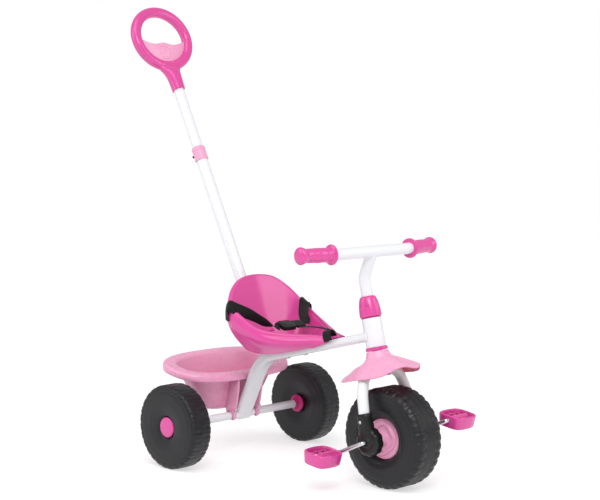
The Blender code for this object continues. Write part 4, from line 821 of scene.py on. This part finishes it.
def lobed(angle, r, y):
    """A ridge 2.6 mm high at r = 30 mm + 2.4 mm cos 4t, a hollow outside it, and a rim at 41 mm."""
    ridge = band(r - 0.0024 * np.cos(4 * angle + 0.6), 0.0268, 0.0325, 0.0020)
    hollow = band(r - 0.0012 * np.cos(4 * angle + 0.6), 0.0335, 0.0385, 0.0020)
    rim = band(r, 0.0395, 0.0425, 0.0014)
    face = np.abs(y) > 0.0288
    return 0 * r, -np.sign(y) * (0.0026 * ridge - 0.0012 * hollow + 0.0012 * rim) * face


face = np.linspace((0.0435, 0.0292), (0.0190, 0.0325), 40)
face = np.vstack([mm([(4.8, 20), (9.7, 20), (9.7, 26.8), (43.5, 26.8)]), face,
                  mm([(16, 34.5), (13, 46), (4.8, 46)])])
for side, name in SIDES:
    dress(turned("front_disc_" + name, face * (1, side), on_front_axle, 144, "Y", relief=lobed,
                 radius=0.0005, smooth=2, sharp=60.0),
          PALE_PINK, "front_hub_disc_" + name)

# %% [markdown]
# ## Crank, pedals and fork covers
# One bent steel rod is axle, cranks and pedal spindles in one. The pedals are deep open blocks
# with ribs inside, and hang a little nose down. Black covers hide the fork's flattened ends.

# %% Crank
tip, web = np.array([0, 0.1706, 0]), np.array([0, 0.097, 0])
crank_path = arcs([-arm - tip, -arm - web, -web, web, arm + web, arm + tip], 0.007, 10)
crank_side = np.cross(unit(arm), (0, 1, 0))
dress(rod_along("crank_rod", crank_path, 0.0045, crank_side, on_front_axle, 32), STEEL, "crank")

# %% Pedals
def pedal_line(inset, count=144):
    """A squared oval of power 0.55, drawn in by an inset, with small dents on its long sides."""
    t = 2 * np.pi * (np.arange(count) + 0.5) / count
    c, s = np.cos(t), np.sin(t)
    dent = 1 - 0.030 * np.exp(-((np.abs(s) - 0.35) / 0.16) ** 2) * (np.abs(c) > 0.5)
    return np.stack([(0.033 - inset) * np.sign(c) * np.abs(c) ** 0.55 * dent,
                     (0.036 - inset) * np.sign(s) * np.abs(s) ** 0.55], -1)


PEDAL = [
    (0.0, 0.86, -0.01375), (0.0, 0.90, -0.0134), (0.0, 0.93, -0.0118), (0.0, 0.948, -0.0060),
    (0.0, 0.975, 0.0020), (0.0, 0.995, 0.0090), (0.0002, 1.0, 0.0120), (0.0010, 1.0, 0.0134),
    (0.0024, 1.0, 0.01375), (0.0035, 1.0, 0.0126), (0.0038, 0.99, 0.0080), (0.0038, 0.95, -0.0060),
    (0.0043, 0.93, -0.0088), (0.0060, 0.90, -0.0094)]
RIBS = mm([(-3.5, 0, 29, 1.8), (-4, 18.5, 27, 1.4), (-4, -18.5, 27, 1.4), (13, 0, 1.4, 31),
           (-20, 0, 1.4, 31)])


def pedal_shell(name, place):
    """Up the outside, over a rounded rim, down the inside, and across the floor. Each level is the
    outline with an inset, times a share, at its height."""
    rows = [at_height(pedal_line(inset) * share, z) for inset, share, z in PEDAL]
    rows = np.array(rows) + (-0.004, 0, -0.0042)
    hubs = [(-0.004, 0, -0.01795), (-0.004, 0, -0.0136)]
    return skin(name, place(rows), place(hubs), sharp=60.0)


for side, name in SIDES:
    place = on_pedal[name]
    pedal = "pedal_" + name
    dress(pedal_shell("pedal_block_" + name, place), PINK, pedal)
    barrel = tube("pedal_barrel_" + name, 0.0048, 0.0078, -side * 0.0355, side * 0.0255, place, 56, "Y",
                  radius=0.001)
    dress(barrel, PINK, pedal)
    for k, (x, y, half_x, half_y) in enumerate(RIBS):
        rib = plate("pedal_rib_%s_%d" % (name, k), ring(half_x, half_y, 40, 8.0) + (x, y), -0.0140, 0.0046,
                    place, 0.0005)
        dress(rib, PINK, pedal)

# %% Fork covers
cover_outline = mm([
    (5, 63.2), (30, 63.2), (30.5, 64.5), (30.5, 79), (29.8, 81.5), (26.5, 84.2), (21, 86.2), (19.5, 85),
    (12, 85.5), (10, 88), (5.6, 88)])
cover_levels = mm([(-4, 22.5, 10.5), (10, 20.5, 11.8), (30, 16.8, 12.8), (50, 15.3, 12.9), (58.5, 15, 12.9),
                   (60, 14, 12), (59.8, 12, 11.9)])


def scallops(angle, r, y):
    """The flange's edge moves in by 2 mm at 10 places round it."""
    return 0.0020 * pulse(angle * 10 / (2 * np.pi), 0.30, 0.40) * band(r, 0.0270, 0.1, 0.0015), 0 * r


for side, name in SIDES:
    dress(turned("cover_boss_" + name, cover_outline * (1, side), on_steering, 224, "Y", relief=scallops,
                 radius=0.0014, sharp=60.0), BLACK, "fork_cover_" + name)
    rows = [at_height(ring(wide, deep, 64, 3.2) + (0, side * LEG_OUT), z) for z, wide, deep in cover_levels]
    dress(skin("cover_block_" + name, on_steering(np.array(rows)), sharp=60.0), BLACK,
          "fork_cover_" + name)

# %% [markdown]
# ## Seat
# The seat is a bucket of bright plastic: a low pan, a back that rises and leans, and a thick
# rolled lip that a highlight follows all the way round. The rim and the foot are smooth loops
# through a few points. For each direction from the middle, a curve runs up the pan, over the
# lip and down the skirt, so the shape is read as one grid of direction by way along that curve.

# %% Seat shell
RIM = mm([
    (-131, 0, 155), (-123, 54, 148.5), (-108, 93.5, 123.2), (-84, 114.8, 93.2), (-45, 115, 68.4),
    (0, 107, 48.8), (50, 79, 41.2), (100, 41.5, 39), (132, 21.5, 38), (148, 11, 38), (155, 0, 38)])
FOOT = mm([
    (-71, 0, 27.6), (-87, 40, 19.6), (-92, 65, 7.6), (-77, 73.5, -7), (-40, 70.5, -14), (0, 67, -11.6),
    (50, 56, -2.5), (88, 42, 8), (106, 34, 11.5), (122, 20, 29), (155, 0, 36.6)])
PAN = np.array([0.165, 0.0, 0.2724])


def seat_grid(count=256):
    """Pan: middle + (rim - middle) p, and its height goes from floor to rim as ((p - 0.36)/0.64)^1.35.
    Lip: the rim moved out and down in small steps. Skirt: from the lip to the foot, bulging outward."""
    rim, foot = (PAN + through(mirrored(half), count, True) for half in (RIM, FOOT))
    spread = unit(rim[:, :2] - PAN[:2])
    narrow = np.clip((0.345 - rim[:, 0]) / 0.06, 0.35, 1.0)[:, None]
    deep = np.clip((rim[:, 2] - foot[:, 2]) / 0.05, 0.15, 1.0)[:, None]
    rows = []
    for part in (0.10, 0.24, 0.36, 0.48, 0.60, 0.70, 0.80, 0.88, 0.95):
        row = PAN + (rim - PAN) * part
        row[:, :2] -= spread * 0.0090 * part * narrow
        floor = PAN[2] + (row[:, 0] - PAN[0]) * math.tan(LEAN)
        row[:, 2] = floor + (rim[:, 2] - floor) * max(0.0, (part - 0.36) / 0.64) ** 1.35
        rows.append(row)
    for outward, drop in ((-0.0106, 0.0042), (-0.0100, 0.0012), (-0.0076, -0.0002), (-0.0042, -0.0002),
                          (-0.0010, 0.0014), (0.0008, 0.0046), (0.0012, 0.0080)):
        row = rim.copy()
        row[:, :2] += spread * outward * narrow
        row[:, 2] -= drop * deep[:, 0]
        rows.append(row)
    lip = rows[-1]
    for part in (0.12, 0.28, 0.46, 0.64, 0.82, 1.0):
        row = lip + (foot - lip) * part
        row[:, :2] += spread * 0.0160 * deep * math.sin(math.pi * part ** 0.9)
        rows.append(row)
    return np.array(rows)


def thick(rows, wall):
    """Outer grid, then the same grid moved along its normals by the wall and read backwards, so that
    the first and last rows meet their copies and the wall is closed at both edges."""
    return np.vstack([rows, (rows + normals(rows) * wall)[::-1]])


grid = through(seat_grid(), 84)
SEAT_WALL = 0.0030
shell = thick(grid, SEAT_WALL)
low_hub = PAN - np.array([-math.sin(LEAN), 0, math.cos(LEAN)]) * SEAT_WALL
if shell[-1, :, 2].mean() > shell[0, :, 2].mean():
    shell = thick(grid, -SEAT_WALL)
dress(skin("seat_shell", on_trike(shell), on_trike([PAN, low_hub]), sharp=70.0), PINK, "seat")

# %% [markdown]
# ## Belt
# The belt is flat woven webbing, so its finish needs to know which way the threads run. Each
# strap carries its own map: one number across the strap and one along it, both in metres. The
# weave is two waves multiplied, one for each set of threads, used both as bump and as painted
# shade and highlight: the low places are drawn darker and the high threads lighter.

# %% Webbing finish
def webbing(slot, colour, threads_scale=330.0):
    """Height = one wave times the other, so a thread stands high where both do. The colour carries painted
    shade where the weave is low and a painted highlight where it is high.
    """
    FINISH[slot], tree, shader = material("finish_" + slot)
    threads = add(tree, "UVMap", {}, uv_map="weave").outputs["UV"]
    weave = {"Scale": threads_scale, "Distortion": 0.4, "Vector": threads}
    height = reckon(tree, "MULTIPLY", *(add(tree, "TexWave", weave, bands_direction=axis).outputs["Fac"]
                                        for axis in "XY"))
    # Painted shade and highlight: the colour runs from 0.55 to 1.6 times the webbing's own with the weave's
    # height.
    dark, light = ([c * share for c in colour] for share in (0.55, 1.6))
    feed(tree, shader, {"Base Color": mixed(tree, height, dark, light),
                        "Normal": bumped(tree, 0.8, 0.0004, height),
                        "Roughness": 0.78, "Specular IOR Level": 0.25, "Sheen Weight": 0.06})


webbing(WEBBING, (0.0085, 0.0090, 0.0090))

# %% [markdown]
# A strap is a thin flat section carried along a path, with a side direction at each point that
# turns it from lying on the rim to hanging on edge. Its two long edges are rounded, as the
# selvedge of webbing is.

# %% Straps
def strap(name, points, side, width, count=90, thickness=0.0016):
    """Section: a flat oval, width by thickness. The map's first number is the way across, the second
    the length along the path."""
    path = through(points, count)
    u, v = ring(width / 2, thickness / 2, 36, 5.0).T
    side = through(side, count)
    rows = carried(path, np.stack([u, v], -1), side)
    along = np.concatenate([[0], np.cumsum(np.linalg.norm(np.diff(path, axis=0), axis=1))])
    weave = (np.broadcast_to(u, (count, 36)), np.broadcast_to(along[:, None], (count, 36)))
    return skin(name, on_trike(rows), sharp=60.0, weave=weave)


LAP = {
    "left": mm([(-70, 122.2, 50), (-70, 122.2, 70), (-70, 121, 83.5), (-68, 115, 89), (-61, 103, 90),
                (-49, 89, 80), (-35, 72, 70), (-19, 57, 59.5), (-6, 48, 52.5), (-2, 41, 50)]),
    "right": mm([(-93.5, 115, 60), (-93, 116, 78), (-89.5, 119, 90.5), (-81.5, 120.5, 96), (-70, 116, 91.5),
                 (-60, 105, 85), (-48.1, 92.8, 78), (-34.2, 78, 67.5), (-19.6, 64, 56.5), (-5.1, 50, 49),
                 (-1, 41, 48.5)])}
LAP_SIDE = {
    "left": [(1, 0, -0.3), (1, 0, -0.4), (1, 0, -0.55), (1, 0, -0.63), (1, 0, -0.5), (1, 0, -0.2),
             (1, 0, 0.1), (1, 0, 0.3), (1, 0, 0.1), (0.9, 0, -0.3)],
    "right": [(0.8, 0.45, -0.1), (0.8, 0.45, -0.2), (0.55, 0.5, -0.6), (0.1, 0.5, -0.85),
              (-0.2, 0.5, -0.8), (-0.29, 0.42, -0.85), (-0.6, 0.35, -0.65), (-0.85, 0.25, -0.35),
              (-0.9, 0.2, -0.15), (-0.85, 0, 0.2), (-0.77, 0, 0.64)]}
for side, name in SIDES:
    points, flat = PAN + LAP[name] * (1, side, 1), np.array(LAP_SIDE[name]) * (1, side, 1)
    dress(strap("lap_belt_" + name, points, flat, 0.026, 110), WEBBING, "lap_strap_" + name)
crotch = PAN + mm([(13, 9.8, 44.5), (30, 9, 46.5), (56.5, 6, 49), (85.2, 2, 50.3), (112, -4, 50),
                   (128, -9, 49)])
dress(strap("crotch_belt", crotch, [(0, 1, 0)] * 6, 0.0135), WEBBING, "crotch_strap")
nose = PAN + mm([
    (143, -32.5, 29), (139.5, -33, 38.5), (136.5, -31, 46.5), (134, -24.5, 51), (132.5, -15, 48),
    (130, -6, 40.5), (126.5, 4, 35), (123, 18, 33.2), (120.5, 28, 32.8), (119, 33.2, 30.5),
    (119, 33.7, 27)])
nose_side = [(1, 0, 0.25)] * 5 + [(1, 0, 0.05)] * 6
dress(strap("nose_belt", nose, nose_side, 0.024), WEBBING, "nose_band")

# %% Buckle
on_buckle = leaning(PAN + (-0.001 - MIDDLE_X, 0, 0.0490), -22.0)
body = ring(0.0155, 0.0210, 64, 5.0) + (0, -0.0170)
dress(plate("buckle_shell", body, -0.0053, 0.0053, on_buckle, 0.0018), BLACK, "buckle_body")
tongue = ring(0.0112, 0.0180, 64, 5.0) + (0, 0.0200)
dress(plate("buckle_fork", tongue, -0.0026, 0.0026, on_buckle, 0.0009), BLACK, "buckle_tongue")
for k, y in enumerate((0.0105, 0.0200, 0.0290)):
    bar_outline = ring(0.0140, 0.0026, 40, 5.0) + (0, y)
    dress(plate("buckle_bar_%d" % k, bar_outline, -0.0030, 0.0034, on_buckle, 0.0010), BLACK, "belt_loop")

# %% [markdown]
# ## Bucket
# The tub behind the seat is thin pale plastic with a broad rolled rim that slopes up to the rear.
# Its wall is a stack of squared ovals. Two fins on its front end in open clips that snap on the
# cross tube, and a screw through each fin keeps it there.

# %% Bucket shell
WALL = mm([
    (20, 52, 107), (30, 69, 108.5), (37.5, 82, 114), (41.2, 90, 124), (47, 104.5, 147), (55, 127, 185),
    (61.2, 138.5, 207), (63.5, 141.5, 211.2), (65.5, 144, 212.6), (74, 155, 213), (82.5, 165.5, 213.2),
    (85, 168.6, 211.8), (86.1, 169.8, 208.5), (86.2, 169.9, 203), (85.5, 169, 199)])
TUB_BACK = 0.056   # of the tub's middle behind the axle
TUB_LOW, TUB_HIGH, TUB_WALL = 0.1065, 0.2105, 0.0022


def tub_ring(half_x, half_y, height, count=192):
    """z = height - 0.2 u h, with u forward from the middle and h the share of the way up to the rim."""
    flat = ring(half_x, half_y, count, 2.6)
    share = (height - TUB_LOW) / (TUB_HIGH - TUB_LOW)
    rise = height - 0.20 * flat[:, 0] * share - REAR_AXLE_Z
    return np.column_stack([flat[:, 0] - TUB_BACK, flat[:, 1], rise])


tub = thick(np.array([tub_ring(*level) for level in through(WALL, 96)]), TUB_WALL)
hubs = [(-TUB_BACK, 0, 0.0110), (-TUB_BACK, 0, 0.0088)]
dress(skin("tub", on_bucket(tub), on_bucket(hubs), sharp=70.0), PALE_PINK, "bucket")

# %% Fins and clips
FIN_OUT, FIN_WALL = 0.0375, 0.0050
fin = mm([
    (0, -4), (13.5, 4), (20, 30), (26.5, 62), (28.5, 90), (-2, 90), (-9.5, 52), (-15, 28), (-17, 12.2),
    (-10, 0)])
fin = rounded(fin, 0.004, 5)
fin = fin[np.hypot(fin[:, 0], fin[:, 1]) > 0.0118]
turn = np.radians(np.linspace(-55, 235, 60))
arc = np.stack([np.cos(turn), np.sin(turn)], -1)
screw_way = unit(np.array([0.92, 0, -0.39]))
boss = mm([(0, -5.8), (4.6, -5.8), (4.6, 5.8), (0, 5.8)])
for side, name in SIDES:
    y = side * FIN_OUT
    dress(plate("tub_fin_" + name, fin, y - FIN_WALL / 2, y + FIN_WALL / 2, on_bucket, 0.0007, (0, 2, 1)),
          PALE_PINK, "bucket")
    clip = []
    for w, inset in ((-0.0052, 0.0005), (-0.0045, 0.0), (0.0045, 0.0), (0.0052, 0.0005)):
        line = np.vstack([arc * (0.0130 - inset), arc[::-1] * (0.0098 + inset)])
        clip.append(np.column_stack([line[:, 0], np.full(len(line), y + w), line[:, 1]]))
    clip = np.swapaxes(np.array(clip), 0, 1)
    dress(skin("tub_clip_" + name, on_bucket(clip), bored=True), PALE_PINK, "bucket")
    at = facing((0.0125, y, 0.0175), screw_way)
    dress(turned("tub_boss_" + name, boss, lambda p: on_bucket(at(p)), 40), PALE_PINK, "bucket")

# %% [markdown]
# ## Screws, nuts and bolts
# Small steel parts catch small lights. A screw's head is a low dome with a cross pressed into
# it: the dome's height is lowered where a point lies within either arm of the cross.

# %% Screws
def cross_cut(size):
    """Down by 0.28 of the head's radius within two crossing bars, for points on the head alone."""
    def bar_of(across, along):
        return band(across, -1, size * 0.14, size * 0.08) * band(along, -1, size * 0.60, size * 0.1)

    def relief(angle, r, h):
        x, y = np.abs(r * np.cos(angle)), np.abs(r * np.sin(angle))
        return 0 * r, np.maximum(bar_of(x, y), bar_of(y, x)) * size * 0.28 * (h > 0.0002)
    return relief


def screw(name, place, at, way, size, height, shank, node, slot=STEEL):
    """A dome of a size and height on a thin shank, turned to face a way."""
    t = np.linspace(0, np.pi / 2, 14)
    dome = np.stack([size * np.cos(t), 0.0003 + height * np.sin(t)], -1)
    shaft = [(0, -shank), (0.0015, -shank), (0.0015, 0), (size, 0)]
    outline = np.vstack([shaft, dome[:-1], (0, dome[-1, 1])])
    spot = facing(at, way)
    piece = turned(name, outline, lambda p: place(spot(p)), 64, relief=cross_cut(size), radius=0,
                   sharp=50.0)
    dress(piece, slot, node)


turn = math.radians(-58.0)
collar_way = np.array([math.cos(turn), math.sin(turn), 0])
screw("collar_fixing", on_steering, collar_way * 0.0228 + (0, 0, 0.2856), collar_way, 0.0034, 0.0018,
      0.0095, "collar_screw", PINK)
for side, name in SIDES:
    screw("cover_fixing_" + name, on_steering, (-0.003, side * 0.0888, 0.0435), (0, side, 0), 0.0036,
          0.0018, 0.0140, "fork_cover_screw_" + name)
    spot = np.array([0.0125, side * FIN_OUT, 0.0175]) + screw_way * 0.0061
    screw("tub_fixing_" + name, on_bucket, spot, screw_way, 0.0033, 0.0016, 0.0085, "bucket_screw_" + name)

# %% [markdown]
# The nuts, bolts and the axle keep their engineering shapes, which are right as they are, and
# only get the steel finish.

# %% Steel on the rest
for name in ("rear_axle", "axle_push_nut_left", "axle_push_nut_right", "seat_bolt_front", "seat_bolt_rear",
             "seat_nut_front", "seat_nut_rear", "pedal_push_nut_left", "pedal_push_nut_right"):
    node = frame["nodes"][name]
    node.data.materials.clear()
    node.data.materials.append(FINISH[STEEL])
print("kept nodes have the steel finish")

# %% [markdown]
# ## Studio
# The photograph has a white floor that melts into a white wall, and a soft light from above and
# in front that leaves faint shadows under the wheels. An even sky gives about half of the light,
# and a wide, soft sun and three panels the rest. The camera sees a sky of pure white. The floor
# glows for the camera, for reflections and through clear pieces only, so it lights nothing and
# its far edge melts into the sky.

# %% Floor
def floor(half=30.0, glow=1.32, share=0.45):
    """A white sheet. Where a ray comes from the camera, a reflection or a clear piece, its colour is
    white paint and glow mixed by the share."""
    mesh = bpy.data.meshes.new("floor")
    mesh.from_pydata([(-half, -half, 0), (half, -half, 0), (half, half, 0), (-half, half, 0)], [],
                     [(0, 1, 2, 3)])
    piece = linked("floor", mesh)
    white, tree, shader = material("floor_white")
    white.cycles.emission_sampling = "NONE"
    clouds = noise(tree, add(tree, "TexCoord", {}).outputs["Object"], 3.0)
    tone = mixed(tree, clouds, (0.955, 0.957, 0.965), (0.975, 0.976, 0.980))
    feed(tree, shader, {"Base Color": tone, "Roughness": 0.9, "Specular IOR Level": 0.1})
    ray = add(tree, "LightPath", {}).outputs
    seen = reckon(tree, "MAXIMUM", ray["Is Camera Ray"], ray["Is Transmission Ray"])
    seen = reckon(tree, "MULTIPLY", reckon(tree, "MAXIMUM", seen, ray["Is Glossy Ray"]), share)
    light = add(tree, "Emission", {"Strength": glow}).outputs[0]
    blend = add(tree, "MixShader", {0: seen, 1: shader.outputs[0], 2: light}).outputs[0]
    feed(tree, tree.nodes["Material Output"], {"Surface": blend})
    mesh.materials.append(white)


floor()

# %% Sky and lamps
SKY_FOR_LIGHT, SKY_SEEN = 0.52, 1.0
world = bpy.data.worlds.new("studio")
bpy.context.scene.world = world
world.use_nodes = True
tree = world.node_tree
ray = add(tree, "LightPath", {}).outputs
seen = reckon(tree, "MAXIMUM", ray["Is Camera Ray"], ray["Is Transmission Ray"])
strength = add(tree, "MapRange", {"Value": seen, "To Min": SKY_FOR_LIGHT, "To Max": SKY_SEEN})
feed(tree, tree.nodes["Background"], {"Color": (1, 1, 1, 1), "Strength": strength.outputs["Result"]})


def lamp(name, kind, at, target, power, size):
    """A sun whose size is an angle in degrees, or a panel whose size is its width and height."""
    data = bpy.data.lights.new(name, kind)
    data.energy = power
    if kind == "SUN":
        data.angle = math.radians(size)
    else:
        data.shape = "RECTANGLE"
        data.size, data.size_y = size
    holder = linked(name, data)
    holder.location = at
    way = Vector(target) - Vector(at)
    holder.rotation_euler = way.to_track_quat("-Z", "Y").to_euler()


lamp("soft_sun", "SUN", (1.0, -1.6, 3.0), (0, 0, 0), 1.05, 45.0)
lamp("front_panel", "AREA", (1.9, -1.5, 2.2), (0, 0, 0.4), 26.0, (1.1, 0.8))
lamp("window", "AREA", (-1.6, -2.2, 1.8), (0, 0, 0.4), 14.0, (0.9, 1.8))
lamp("rim_panel", "AREA", (2.0, 1.4, 1.6), (0, 0, 0.4), 10.0, (0.7, 1.6))

# %% Camera
camera = bpy.data.cameras.new("camera")
camera.lens = 86.736
camera.sensor_width = 36.0
camera_object = linked("camera", camera)
LOOK_DOWN, LOOK_ROUND = 4.62, 44.59
camera_object.location = (2.4631 - MIDDLE_X, -2.3064, 0.7545)
camera_object.rotation_euler = (math.radians(90.0 - LOOK_DOWN), 0, math.radians(LOOK_ROUND))
bpy.context.scene.camera = camera_object
bpy.context.scene.view_settings.view_transform = "Standard"
